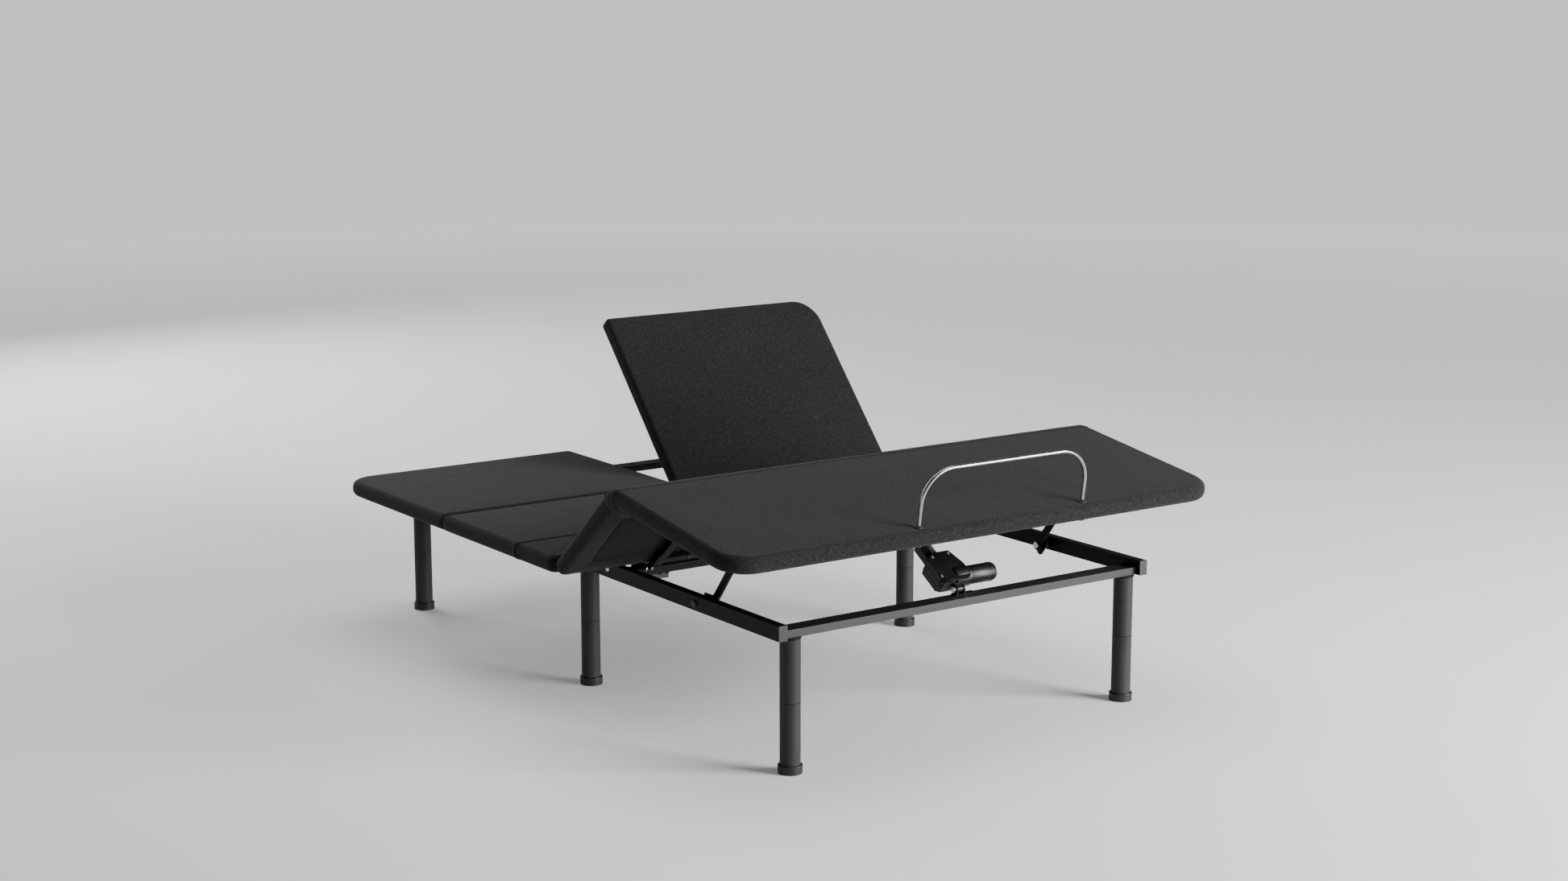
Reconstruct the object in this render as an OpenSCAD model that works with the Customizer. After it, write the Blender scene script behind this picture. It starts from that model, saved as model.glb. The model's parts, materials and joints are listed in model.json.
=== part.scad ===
// Split-head adjustable bed base, queen size, with a raised knee and one raised head half.
// Every section is drawn flat and then turned to its resting pose about its hinge axis.

/* [Deck] */
// Overall width of the upholstered deck
deck_w = 1522; // [1500:1:1540]
// Height of the underside of the flat deck above the floor
deck_z = 372.7; // [372:0.1:374]
// Thickness of each upholstered panel
panel_t = 45; // [42:1:48]
// Plan radius of the four outer deck corners
corner_r = 80; // [60:5:95]
// Width of the split between the two head halves
split_gap = 8; // [6:1:12]
// Thickness of the wooden board inside each panel
board_t = 12; // [10:1:15]

/* [Pose at rest] */
// Lift of the thigh section above flat
leg_raise = 41.5; // [30:0.5:42]
// Slope of the calf section when the knee is up
calf_slope = 8.74; // [6:0.01:12]
// Lift of the right head half above flat
head_raise_right = 48.8; // [0:0.1:55]

/* [Frame] */
// Distance between the outer faces of the side rails
rail_outer_w = 1162; // [1150:2:1170]
// Width of a side rail tube
rail_w = 25; // [22:1:25]
// Height of a side rail tube
rail_h = 38; // [36:1:40]
// Depth of a flat cross rail tube
cross_d = 50; // [44:1:52]
// Height of a flat cross rail tube
cross_h = 20; // [18:1:20]
// Wall of the steel tubes
wall = 2; // [1.5:0.1:2.5]
// Distance between the two headboard bolt holes
headboard_span = 820; // [700:10:900]
// Diameter of a headboard bolt hole
headboard_hole = 9; // [8:0.5:10]

/* [Legs] */
// Diameter of a leg tube
leg_d = 50.8; // [45:0.1:52]
// Diameter of a leg foot cap
cap_d = 60; // [56:1:64]
// Height of a leg foot cap
cap_h = 20; // [16:1:24]
// Height of the joint between the lower and the upper leg tube
leg_joint_z = 176; // [150:1:200]
// Sideways distance between the leg axes
leg_span = 1055; // [1050:1:1058]

/* [Retainer bar] */
// Diameter of the mattress retainer bar
bar_d = 10; // [8:1:12]
// Height of the bar above the deck
bar_h = 147; // [120:1:160]
// Bend radius of the bar
bar_r = 88; // [60:1:90]
// Left leg of the bar across the bed
bar_x0 = -206; // [-230:1:-180]
// Right leg of the bar across the bed
bar_x1 = 311; // [290:1:330]

/* [Hidden] */
$fn = 64;

// position of the frame origin along the bed, measured from the foot legs
y_mid = 911.63;
// top of the side rails, just under the moving panels
rail_top = deck_z - 0.5;
rail_z0 = rail_top - rail_h;
cross_z1 = rail_z0 + cross_h;
rail_x = rail_outer_w / 2;
rail_in = rail_x - rail_w;
leg_x = leg_span / 2;
leg_ys = [0, 921.5, 1891.4];
// hinge axes in the flat pose, [y, z]
axis_z = deck_z - 10.7;
thigh_ax = [673, axis_z];
thigh_l = 341;
knee_ax = [thigh_ax[0] - thigh_l, axis_z];
head_ax = [1335, deck_z + panel_t / 2];
// panel ends in the flat pose
foot_y = knee_ax[0] - 515.6;
seat_y0 = 716;
seat_y1 = 903;
lumbar_y0 = 907;
lumbar_y1 = head_ax[0] - panel_t / 2 - 3.7;
head_y0 = head_ax[0] - panel_t / 2;
head_y1 = 1925;
// thin tubes under the sections
sub_z0 = deck_z - 17.7;
sub_h = 17.7;
pin_r = 5;
run = 0.05;

function rot2(p, a) = [p[0] * cos(a) - p[1] * sin(a), p[0] * sin(a) + p[1] * cos(a)];
// a point on the calf section at rest: a towards the foot and b down from the knee axis
function calf_at(a, b) = thigh_ax + rot2([-thigh_l, 0], -leg_raise) + rot2([-a, -b], calf_slope);

// calf link: rail pivot, and its pin on the calf section
link_ax = [331, 352];
link_a = 237.5;
link_b = 14;
link_v = calf_at(link_a, link_b) - link_ax;
link_len = norm(link_v);
link_ang = atan2(link_v[1], -link_v[0]);
// leg actuator: lower pivot, and its pin on the calf section
act_ax = [25, 368];
act_a = 125;
act_b = 20;
act_v = calf_at(act_a, act_b) - act_ax;
act_len = norm(act_v);
act_ang = atan2(act_v[1], act_v[0]);
// head actuators
lever_drop = 112;
act_x = 300;
act_z = head_ax[1] - lever_drop;
rod_y_left = head_ax[0] + lever_drop * tan(-30);
rod_y_right = head_ax[0] + lever_drop * tan(head_raise_right - 30);

// ---- poses ----
module turn(ax, a) { translate([0, ax[0], ax[1]]) rotate([a, 0, 0]) translate([0, -ax[0], -ax[1]]) children(); }
module base_pose() { translate([0, -y_mid, 0]) children(); }
module thigh_pose() { base_pose() turn(thigh_ax, -leg_raise) children(); }
module calf_pose() { thigh_pose() turn(knee_ax, leg_raise + calf_slope) children(); }
module head_pose(side) { base_pose() turn(head_ax, side > 0 ? head_raise_right : 0) children(); }
module link_pose() { base_pose() translate([0, link_ax[0], link_ax[1]]) rotate([-link_ang, 0, 0]) children(); }
module act_pose() { base_pose() translate([0, act_ax[0], act_ax[1]]) rotate([act_ang, 0, 0]) children(); }

// ---- shapes ----
// a flat shape in (y, z) made w long from x0
module plate_x(x0, w) { translate([x0, 0, 0]) rotate([90, 0, 90]) linear_extrude(w) children(); }
module cyl_x(x0, x1, y, z, r) { translate([x0, y, z]) rotate([0, 90, 0]) cylinder(r = r, h = x1 - x0); }
module box(x0, x1, y0, y1, z0, z1) { translate([x0, y0, z0]) cube([x1 - x0, y1 - y0, z1 - z0]); }
module mirror_x() { children(); mirror([1, 0, 0]) children(); }
module tube_y(x0, x1, y0, y1, z0, z1) {
  difference() { box(x0, x1, y0, y1, z0, z1); box(x0 + wall, x1 - wall, y0 - 1, y1 + 1, z0 + wall, z1 - wall); }
}
module tube_x(x0, x1, y0, y1, z0, z1) {
  difference() { box(x0, x1, y0, y1, z0, z1); box(x0 - 1, x1 + 1, y0 + wall, y1 - wall, z0 + wall, z1 - wall); }
}
// side view of a panel: end radii ra (foot end) and rb (head end)
module profile(y0, y1, z0, z1, ra, rb) {
  union() {
    translate([y0 + ra, z0]) square([y1 - y0 - ra - rb, z1 - z0]);
    if (z1 - z0 > 2 * ra + 0.01) translate([y0, z0 + ra]) square([ra + 0.01, z1 - z0 - 2 * ra]);
    if (z1 - z0 > 2 * rb + 0.01) translate([y1 - rb - 0.01, z0 + rb]) square([rb + 0.01, z1 - z0 - 2 * rb]);
    for (z = [z0 + ra, z1 - ra]) translate([y0 + ra, z]) circle(r = ra);
    for (z = [z0 + rb, z1 - rb]) translate([y1 - rb, z]) circle(r = rb);
  }
}
// plan view of a panel: corner radii foot-left, foot-right, head-right, head-left
module plan(x0, x1, y0, y1, r) {
  difference() {
    translate([x0, y0]) square([x1 - x0, y1 - y0]);
    if (r[0] > 0) difference() { translate([x0 - 1, y0 - 1]) square(r[0] + 1); translate([x0 + r[0], y0 + r[0]]) circle(r = r[0]); }
    if (r[1] > 0) difference() { translate([x1 - r[1], y0 - 1]) square(r[1] + 1); translate([x1 - r[1], y0 + r[1]]) circle(r = r[1]); }
    if (r[2] > 0) difference() { translate([x1 - r[2], y1 - r[2]]) square(r[2] + 1); translate([x1 - r[2], y1 - r[2]]) circle(r = r[2]); }
    if (r[3] > 0) difference() { translate([x0 - 1, y1 - r[3]]) square(r[3] + 1); translate([x0 + r[3], y1 - r[3]]) circle(r = r[3]); }
  }
}
// wooden board inside a panel, inset from the outline
module board(x0, x1, y0, y1, r, ia = 9, ib = 9) {
  translate([0, 0, deck_z + 3]) linear_extrude(board_t)
    plan(x0 + 9, x1 - 9, y0 + ia, y1 - ib, [for (c = r) c > 10 ? c - 9 : c]);
}
// foam and fabric cover wrapped over a board, open underneath inside its border
module pad(x0, x1, y0, y1, r, ra, rb, ia = 9, ib = 9, z0 = 0) {
  difference() {
    intersection() {
      plate_x(x0, x1 - x0) profile(y0, y1, deck_z + z0, deck_z + panel_t, ra, rb);
      translate([0, 0, deck_z - 5]) linear_extrude(panel_t + 10) plan(x0, x1, y0, y1, r);
    }
    board(x0, x1, y0, y1, r, ia, ib);
    box(x0 + 70, x1 - 70, y0 + 62, y1 - 62, deck_z - 2, deck_z + 4);
  }
}

// ---- base frame ----
module side_rail(s) {
  color("#1c1c1d") base_pose() difference() {
    translate([s < 0 ? -rail_x : rail_in, 0, 0]) tube_y(0, rail_w, -28, 1904, rail_z0, rail_top);
    cyl_x(-rail_x - 5, rail_x + 5, link_ax[0], link_ax[1], pin_r);
    cyl_x(-rail_x - 5, rail_x + 5, 741, 359, 4);
    cyl_x(-rail_x - 5, rail_x + 5, 1256, 354, 4);
  }
}
module side_rail_left() { side_rail(-1); }
module side_rail_right() { side_rail(1); }
module cross_rail(y0, d) { color("#2a2a2b") base_pose() tube_x(-rail_in, rail_in, y0, y0 + d, rail_z0, cross_z1); }
module foot_cross_rail() { cross_rail(-15, cross_d); }
module mid_cross_rail() { cross_rail(leg_ys[1] - cross_d / 2, cross_d); }
module head_cross_rail() {
  difference() {
    cross_rail(leg_ys[2] - cross_d / 2, cross_d);
    // headboard bolt holes through both walls
    color("#2a2a2b") base_pose() for (x = [-headboard_span / 2, headboard_span / 2]) translate([x, leg_ys[2] - cross_d / 2 - 5, rail_z0 + cross_h / 2])
      rotate([-90, 0, 0]) cylinder(d = headboard_hole, h = cross_d + 10);
  }
}
module thigh_hinge_rail() { cross_rail(702, 40); }
module head_hinge_rail() { cross_rail(1236, 40); }
module rail_end_plugs() {
  color("#232324") base_pose() mirror_x() {
    union() { box(rail_in, rail_x, -31, -28, rail_z0, rail_top); box(rail_in + wall + 0.1, rail_x - wall - 0.1, -28, -12, rail_z0 + wall + 0.1, rail_top - wall - 0.1); }
    union() { box(rail_in, rail_x, 1904, 1907, rail_z0, rail_top); box(rail_in + wall + 0.1, rail_x - wall - 0.1, 1888, 1904, rail_z0 + wall + 0.1, rail_top - wall - 0.1); }
  }
}
module leg_upper_tubes() {
  color("#3a3a3a") base_pose() for (x = [-leg_x, leg_x], y = leg_ys) translate([x, y, leg_joint_z])
    difference() { cylinder(d = leg_d, h = rail_z0 - leg_joint_z); translate([0, 0, -1]) cylinder(d = leg_d - 2 * wall, h = rail_z0 - leg_joint_z - 5); }
}
module leg_lower_tubes() {
  color("#343434") base_pose() for (x = [-leg_x, leg_x], y = leg_ys) translate([x, y, 0]) union() {
    difference() { translate([0, 0, 4]) cylinder(d = leg_d, h = leg_joint_z - 5); translate([0, 0, 10]) cylinder(d = leg_d - 2 * wall, h = leg_joint_z - 17); }
    translate([0, 0, leg_joint_z - 2]) cylinder(d = leg_d - 2 * wall - 1, h = 26);
  }
}
module leg_foot_caps() {
  color("#2b2b2b") base_pose() for (x = [-leg_x, leg_x], y = leg_ys) translate([x, y, 0])
    difference() { cylinder(d = cap_d, h = cap_h); translate([0, 0, 4]) cylinder(d = leg_d, h = cap_h); }
}
// ---- fixed panels ----
module seat_board() { color("#1e1c1b") base_pose() board(-deck_w / 2, deck_w / 2, seat_y0, seat_y1, [20, 20, 3, 3]); }
module seat_pad() { color("#3d3e40") base_pose() pad(-deck_w / 2, deck_w / 2, seat_y0, seat_y1, [20, 20, 3, 3], 16, 6, z0 = -0.5); }
module lumbar_board() { color("#1e1c1b") base_pose() board(-deck_w / 2, deck_w / 2, lumbar_y0, lumbar_y1, [3, 3, 3, 3]); }
module lumbar_pad() { color("#3d3e40") base_pose() pad(-deck_w / 2, deck_w / 2, lumbar_y0, lumbar_y1, [3, 3, 3, 3], 6, 12, z0 = -0.5); }
// ---- brackets on the frame ----
thigh_ear_x = [500.4, 173.4];
module thigh_hinge_brackets() {
  color("#202021") base_pose() mirror_x() for (x = thigh_ear_x)
    plate_x(x, 6) difference() {
      union() { translate(thigh_ax) circle(r = 9.7); translate([673, cross_z1]) square([69, 17.3]); translate([663.3, cross_z1]) square([9.8, 7.8]); }
      translate(thigh_ax) circle(r = pin_r);
    }
}
head_ear_x = [500.4, 33.6];
module head_hinge_brackets() {
  color("#202021") base_pose() mirror_x() for (x = head_ear_x)
    plate_x(x, 6) difference() {
      union() {
        translate(head_ax) circle(r = 12);
        translate([1238, cross_z1]) square([109, 17.3]);
        translate([1323, cross_z1 + 1]) square([24, head_ax[1] - cross_z1 - 1]);
      }
      translate(head_ax) circle(r = pin_r);
    }
}
module link_rail_brackets() {
  color("#1d1d1e") base_pose() mirror_x() {
    plate_x(527, 5) difference() {
      polygon([[300, 366], [362, 366], [362, 358], [338, 326], [331, 323], [324, 326], [300, 358]]);
      translate(link_ax) circle(r = pin_r);
    }
    difference() { cyl_x(532, rail_in, link_ax[0], link_ax[1], 9); cyl_x(530, 560, link_ax[0], link_ax[1], pin_r); }
  }
}
module leg_actuator_bracket() {
  color("#1d1d1e") base_pose() union() {
    mirror_x() plate_x(9, 5) difference() {
      union() { translate(act_ax) circle(r = 11); translate([act_ax[0] - 11, cross_z1]) square([20, 14]); }
      translate(act_ax) circle(r = pin_r);
    }
    box(-18, 48, act_ax[0] - 11, act_ax[0] + 9, cross_z1, cross_z1 + 2.5);
  }
}
module head_actuator_brackets() {
  color("#1d1d1e") base_pose() mirror_x() translate([act_x, 0, 0]) {
    for (s = [-14.5, 8.5]) plate_x(s, 6) difference() {
      union() { translate([905, act_z]) square([30, rail_z0 - act_z]); translate([920, act_z]) circle(r = 15); }
      translate([920, act_z]) circle(r = 6);
    }
    translate([0, 1244, 0]) rotate([90, 0, 0]) linear_extrude(6) difference() {
      union() { translate([-28, act_z]) square([56, rail_z0 - act_z]); translate([0, act_z]) circle(r = 28); }
      translate([0, act_z]) circle(r = 17);
    }
  }
}
module headed_pin(x0, x1, ax, r, hr, hl) {
  cyl_x(x0, x1, ax[0], ax[1], r);
  cyl_x(x0 - hl, x0 + 0.01, ax[0], ax[1], hr);
  cyl_x(x1 - 0.01, x1 + hl, ax[0], ax[1], hr);
}
module base_hinge_pins() {
  color("#b9bbbd") base_pose() mirror_x() {
    headed_pin(494.6, 506.5, thigh_ax, pin_r, 8, 3.5);
    headed_pin(166.6, 179.5, thigh_ax, pin_r, 8, 3.5);
    headed_pin(494.6, 506.5, head_ax, pin_r, 8, 3);
    headed_pin(33.5, 45.4, head_ax, pin_r, 8, 3);
    headed_pin(515.6, rail_x, link_ax, pin_r, 8.5, 4);
    translate([act_x, 0, 0]) headed_pin(-14.6, 14.6, [920, act_z], 6, 9, 5);
  }
  color("#b9bbbd") base_pose() headed_pin(-14.1, 14.1, act_ax, pin_r, 7.5, 4);
}
// domed bolt heads along the rails
module rail_bolts() {
  color("#c9cbcd") base_pose() mirror_x() for (p = [[741, 359], [1256, 354]]) union() {
    translate([rail_x, p[0], p[1]]) rotate([0, 90, 0]) rotate_extrude() union() { square([8.5, 1.2]); intersection() { translate([0, -6]) circle(r = 10.3); square([9, 5]); } }
    cyl_x(rail_in, rail_x + 0.1, p[0], p[1], 4);
  }
}
module control_box() {
  color("#141415") base_pose() difference() {
    union() {
      box(-95, 95, 960, 1070, 320, 362);
      box(-115, 115, 1000, 1030, 355, 362);
      box(-60, 60, 946.5, 961, 336, 352);
    }
    for (x = [-70, -42, -14, 14, 42]) box(x - 8, x + 8, 1058, 1071, 332, 346);
    translate([72, 1071, 339]) rotate([90, 0, 0]) cylinder(r = 6, h = 12);
    for (x = [-106, 106]) translate([x, 1015, 350]) cylinder(r = 3, h = 20);
  }
}
module power_supply() {
  color("#101011") base_pose() difference() {
    union() { box(180, 250, 962, 1102, 322, 360); box(165, 265, 1020, 1044, 354, 360); box(195, 235, 946.5, 963, 336, 350); }
    box(201, 229, 1090, 1103, 332, 350);
    for (x = [172, 258]) translate([x, 1032, 350]) cylinder(r = 3, h = 20);
  }
}
// ---- thigh section ----
ty0 = knee_ax[0] + 2;
ty1 = thigh_ax[0];
module thigh_board() { color("#1e1c1b") thigh_pose() board(-deck_w / 2, deck_w / 2, ty0, ty1, [3, 3, 16, 16]); }
module thigh_pad() { color("#3d3e40") thigh_pose() pad(-deck_w / 2, deck_w / 2, ty0, ty1, [3, 3, 16, 16], 5, 17); }
module thigh_dust_cover() {
  color("#161617") thigh_pose() translate([0, 0, deck_z + 1.6]) linear_extrude(1.2)
    plan(-deck_w / 2 + 71, deck_w / 2 - 71, ty0 + 63, ty1 - 63, [4, 4, 4, 4]);
}
module thigh_side_tubes() { color("#1b1b1c") thigh_pose() mirror_x() tube_y(470, 495, 348, 655, sub_z0, sub_z0 + sub_h); }
module thigh_cross_tubes() {
  color("#1b1b1c") thigh_pose() {
    for (y = [360, 487, 620]) tube_x(-470, 470, y, y + 25, sub_z0, sub_z0 + sub_h);
  }
}
module lug(x0, w, ax, y0, y1, r_hole) {
  plate_x(x0, w) difference() {
    union() { translate(ax) circle(r = 9.7); translate([y0, ax[1] - 6.9]) square([y1 - y0, 16.6]); }
    translate(ax) circle(r = r_hole);
  }
}
module thigh_hinge_lugs() {
  color("#202021") thigh_pose() mirror_x() {
    lug(495, 5, thigh_ax, 600, 673, pin_r + run);
    lug(167, 6, thigh_ax, 645, 673, pin_r + run);
    lug(495, 5, knee_ax, 332, 400, pin_r + run);
    lug(167, 6, knee_ax, 332, 360, pin_r + run);
  }
}
// padded fabric ridge that closes the wedge over the knee hinge
module knee_cover() {
  kr = panel_t + 10.7 - 0.5;
  color("#3d3e40") thigh_pose() intersection() {
    cyl_x(-deck_w / 2 + 1, deck_w / 2 - 1, knee_ax[0], knee_ax[1], kr);
    plate_x(-deck_w / 2 + 1, deck_w - 2) translate(knee_ax)
      polygon([rot2([-3.5, 12], 0) + [5, 0], [1.5, 90], rot2([-1.5, 90], leg_raise + calf_slope), rot2([-1.5, 12], leg_raise + calf_slope)]);
  }
}
// ---- calf section ----
cy0 = foot_y;
cy1 = knee_ax[0] - 2;
bar_y = foot_y + 25.6;
bar_top = deck_z + panel_t + bar_h;
module bar_holes(r) { for (x = [bar_x0, bar_x1]) translate([x, bar_y, deck_z - 10]) cylinder(r = r, h = panel_t + 20); }
// clearance over the leg actuator when the bed is flat
module actuator_cutout() { box(-58, 144, 6, 156, deck_z - 3, deck_z + 20); }
module calf_board() { color("#1e1c1b") calf_pose() difference() { board(-deck_w / 2, deck_w / 2, cy0, cy1, [corner_r, corner_r, 3, 3]); bar_holes(8); actuator_cutout(); } }
module calf_pad() { color("#3d3e40") calf_pose() difference() { pad(-deck_w / 2, deck_w / 2, cy0, cy1, [corner_r, corner_r, 3, 3], 18, 5); bar_holes(8); actuator_cutout(); } }
module calf_side_tubes() { color("#1b1b1c") calf_pose() mirror_x() tube_y(475.4, 500.4, -100, 316, sub_z0, sub_z0 + sub_h); }
module calf_cross_tubes() {
  color("#1b1b1c") calf_pose() for (y = [-90, 200, 279]) tube_x(-475.4, 475.4, y, y + 25, sub_z0, sub_z0 + sub_h);
}
module calf_hinge_lugs() {
  color("#202021") calf_pose() mirror_x() {
    lug(500.4, 5, knee_ax, 262, 332, pin_r);
    lug(173.4, 6, knee_ax, 304, 332, pin_r);
  }
}
link_q = [knee_ax[0] - link_a, knee_ax[1] - link_b];
module calf_link_brackets() {
  color("#202021") calf_pose() mirror_x() plate_x(500.4, 5) difference() {
    union() { translate(link_q) circle(r = 13); translate([link_q[0] - 30, link_q[1]]) square([60, sub_z0 + sub_h - link_q[1] - 0.4]); }
    translate(link_q) circle(r = pin_r);
  }
}
// knee pins, and the bolts that carry the link arms
module calf_hinge_pins() {
  color("#b9bbbd") calf_pose() mirror_x() {
    headed_pin(494.6, 505.5, knee_ax, pin_r, 8, 3.5);
    headed_pin(166.6, 179.5, knee_ax, pin_r, 8, 3.5);
    union() {
      cyl_x(500.4, 525.5, link_q[0], link_q[1], pin_r);
      cyl_x(505.4, 515, link_q[0], link_q[1], 11);
      cyl_x(525, 527.5, link_q[0], link_q[1], 12);
    }
  }
}
act_q = [knee_ax[0] - act_a, knee_ax[1] - act_b];
// slot path, [towards the foot, down] from the rest position
slot_to = [44, -33.5];
module calf_actuator_clevis() {
  color("#202021") calf_pose() mirror_x() plate_x(12, 6) difference() {
    polygon([[act_q[0] - 18, sub_z0], [act_q[0] - 16, act_q[1] - 10], [act_q[0] - 4, act_q[1] - 15],
      [act_q[0] + slot_to[0] - 2, act_q[1] + slot_to[1] - 17], [act_q[0] + slot_to[0] + 14, act_q[1] + slot_to[1] - 10],
      [act_q[0] + slot_to[0] + 18, act_q[1] + slot_to[1] + 6], [act_q[0] + slot_to[0] + 14, sub_z0]]);
    translate(act_q) circle(r = 7.8);
    translate(act_q + slot_to) circle(r = 7.8);
    translate(act_q) rotate(atan2(slot_to[1], slot_to[0])) translate([0, -7.8]) square([norm(slot_to), 15.6]);
  }
}
module retainer_bar() {
  color("#c4c6c8") calf_pose() {
    for (x = [bar_x0, bar_x1]) translate([x, bar_y, deck_z + 4]) cylinder(d = bar_d, h = bar_top - bar_d / 2 - bar_r - deck_z - 4, $fn = 48);
    translate([bar_x0 + bar_r, bar_y, bar_top - bar_d / 2]) rotate([0, 90, 0]) cylinder(d = bar_d, h = bar_x1 - bar_x0 - 2 * bar_r, $fn = 48);
    translate([bar_x0 + bar_r, bar_y, bar_top - bar_d / 2 - bar_r]) rotate([90, 0, 0]) rotate([0, 0, 90]) rotate_extrude(angle = 90) translate([bar_r, 0]) circle(d = bar_d, $fn = 48);
    translate([bar_x1 - bar_r, bar_y, bar_top - bar_d / 2 - bar_r]) rotate([90, 0, 0]) rotate_extrude(angle = 90) translate([bar_r, 0]) circle(d = bar_d, $fn = 48);
  }
}
module retainer_sockets() {
  color("#1d1d1e") calf_pose() for (x = [bar_x0, bar_x1]) translate([x, bar_y, deck_z]) difference() {
    union() { translate([0, 0, -2]) cylinder(r = 8, h = panel_t + 3); translate([0, 0, panel_t]) cylinder(r = 11, h = 2); translate([0, 0, -2]) cylinder(r = 12, h = 2); }
    translate([0, 0, 4]) cylinder(d = bar_d, h = panel_t);
  }
}
// ---- calf links ----
module link_arm(s) {
  color("#1f1f20") link_pose() plate_x(s > 0 ? 516 : -524, 8) difference() {
    union() { circle(r = 14); translate([-link_len, 0]) circle(r = 14); translate([-link_len, -10]) square([link_len, 20]); }
    circle(r = pin_r + run);
    translate([-link_len, 0]) circle(r = 9);
  }
}
module link_arm_left() { link_arm(-1); }
module link_arm_right() { link_arm(1); }
// ---- leg actuator, drawn along +Y from its lower pivot ----
module leg_actuator_gearbox() {
  color("#0e0e0f") act_pose() difference() {
    union() {
      translate([0, 0, -22]) linear_extrude(44) polygon([[-50, 86], [-38, 100], [-14, 110], [29, 110], [47, 62], [47, 24], [37, 16.5], [-38, 16.5], [-50, 24]]);
      cyl_x(4, 47, 38, 0, 26);
      box(-8.5, 8.5, 0, 20, -8, 8);
      cyl_x(-8.5, 8.5, 0, 0, 9.5);
    }
    cyl_x(-10, 10, 0, 0, pin_r + run);
    translate([0, 14, 0]) rotate([-90, 0, 0]) cylinder(r = 9.5, h = 100);
  }
}
module leg_actuator_motor() {
  color("#161617") act_pose() union() { cyl_x(47, 126, 38, 0, 24); cyl_x(126, 131, 38, 0, 22); cyl_x(131, 135, 38, 0, 17); }
}
module leg_actuator_guide() {
  color("#0c0c0d") act_pose() difference() { translate([0, 0, -11]) linear_extrude(22) polygon([[-36, 100 + 20 / 24], [-14, 110], [-14, 156], [-36, 156]]); box(-33, -17, 114, 160, -8, 8); }
}
module leg_actuator_tube() {
  color("#c9cbcd") act_pose() translate([0, 110, 0]) rotate([-90, 0, 0]) difference() { cylinder(r = 10.5, h = 47); translate([0, 0, -1]) cylinder(r = 8.05, h = 60); }
}
module leg_actuator_rod() {
  color("#d4d6d8") act_pose() union() {
    translate([0, act_len - 165, 0]) rotate([-90, 0, 0]) cylinder(r = 8, h = 156);
    cyl_x(-9, 9, act_len, 0, 12);
    cyl_x(-24, 24, act_len, 0, 6);
  }
}
// ---- head sections: side -1 left, +1 right ----
module head_notches() {
  for (x = [490.5, 29]) box(x, x + 20.5, head_y0 - 2, 1432, deck_z - 2, deck_z + 36.5);
}
module head_board(side) {
  color("#1e1c1b") head_pose(side) mirror([side < 0 ? 1 : 0, 0, 0]) difference() {
    board(split_gap / 2, deck_w / 2, head_y0, head_y1, [0, 0, corner_r, 14], 15, 9);
    head_notches();
  }
}
module head_pad(side) {
  color("#3d3e40") head_pose(side) mirror([side < 0 ? 1 : 0, 0, 0]) difference() {
    pad(split_gap / 2, deck_w / 2, head_y0, head_y1, [0, 0, corner_r, 14], 22, 16, 15, 9);
    head_notches();
  }
}
module head_tubes(side) {
  color("#1b1b1c") head_pose(side) mirror([side < 0 ? 1 : 0, 0, 0]) {
    for (x = [45, 470]) tube_y(x, x + 25, 1362, 1860, sub_z0, sub_z0 + sub_h);
    for (y = [1362, 1600, 1835]) translate([0, 0, 0]) tube_x(70.2, 469.8, y, y + 25, sub_z0, sub_z0 + sub_h);
  }
}
u30 = [-sin(30), -cos(30)];
v30 = [cos(30), -sin(30)];
module head_lever(side) {
  color("#202021") head_pose(side) mirror([side < 0 ? 1 : 0, 0, 0]) {
    // hinge lugs on the side tubes
    for (x = [495, 40]) plate_x(x, 5) difference() {
      union() {
        translate(head_ax) circle(r = 11.5);
        polygon([head_ax + [-6, -9.8], [1362, sub_z0 + 0.3], [1430, sub_z0 + 0.3], [1430, deck_z], [1394, deck_z + 8], head_ax + [6, 9.8]]);
      }
      translate(head_ax) circle(r = pin_r + run);
    }
    // slotted drop lever, two plates
    for (s = [-17, 11]) plate_x(act_x + s, 6) difference() {
      union() {
        polygon([head_ax + 104 * u30 - 19 * v30, [1362, sub_z0], [1402, sub_z0], head_ax + 112 * u30 + 19 * v30]);
        translate(head_ax + 138 * u30) circle(r = 19);
        translate(head_ax + 104 * u30) circle(r = 19);
        polygon([head_ax + 104 * u30 - 19 * v30, head_ax + 138 * u30 - 19 * v30, head_ax + 138 * u30 + 19 * v30, head_ax + 104 * u30 + 19 * v30]);
      }
      for (r = [107, 135]) translate(head_ax + r * u30) circle(r = 10);
      polygon([head_ax + 107 * u30 - 10 * v30, head_ax + 135 * u30 - 10 * v30, head_ax + 135 * u30 + 10 * v30, head_ax + 107 * u30 + 10 * v30]);
    }
  }
}
module head_left_board() { head_board(-1); }
module head_left_pad() { head_pad(-1); }
module head_left_tubes() { head_tubes(-1); }
module head_left_lever() { head_lever(-1); }
module head_right_board() { head_board(1); }
module head_right_pad() { head_pad(1); }
module head_right_tubes() { head_tubes(1); }
module head_right_lever() { head_lever(1); }
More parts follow.
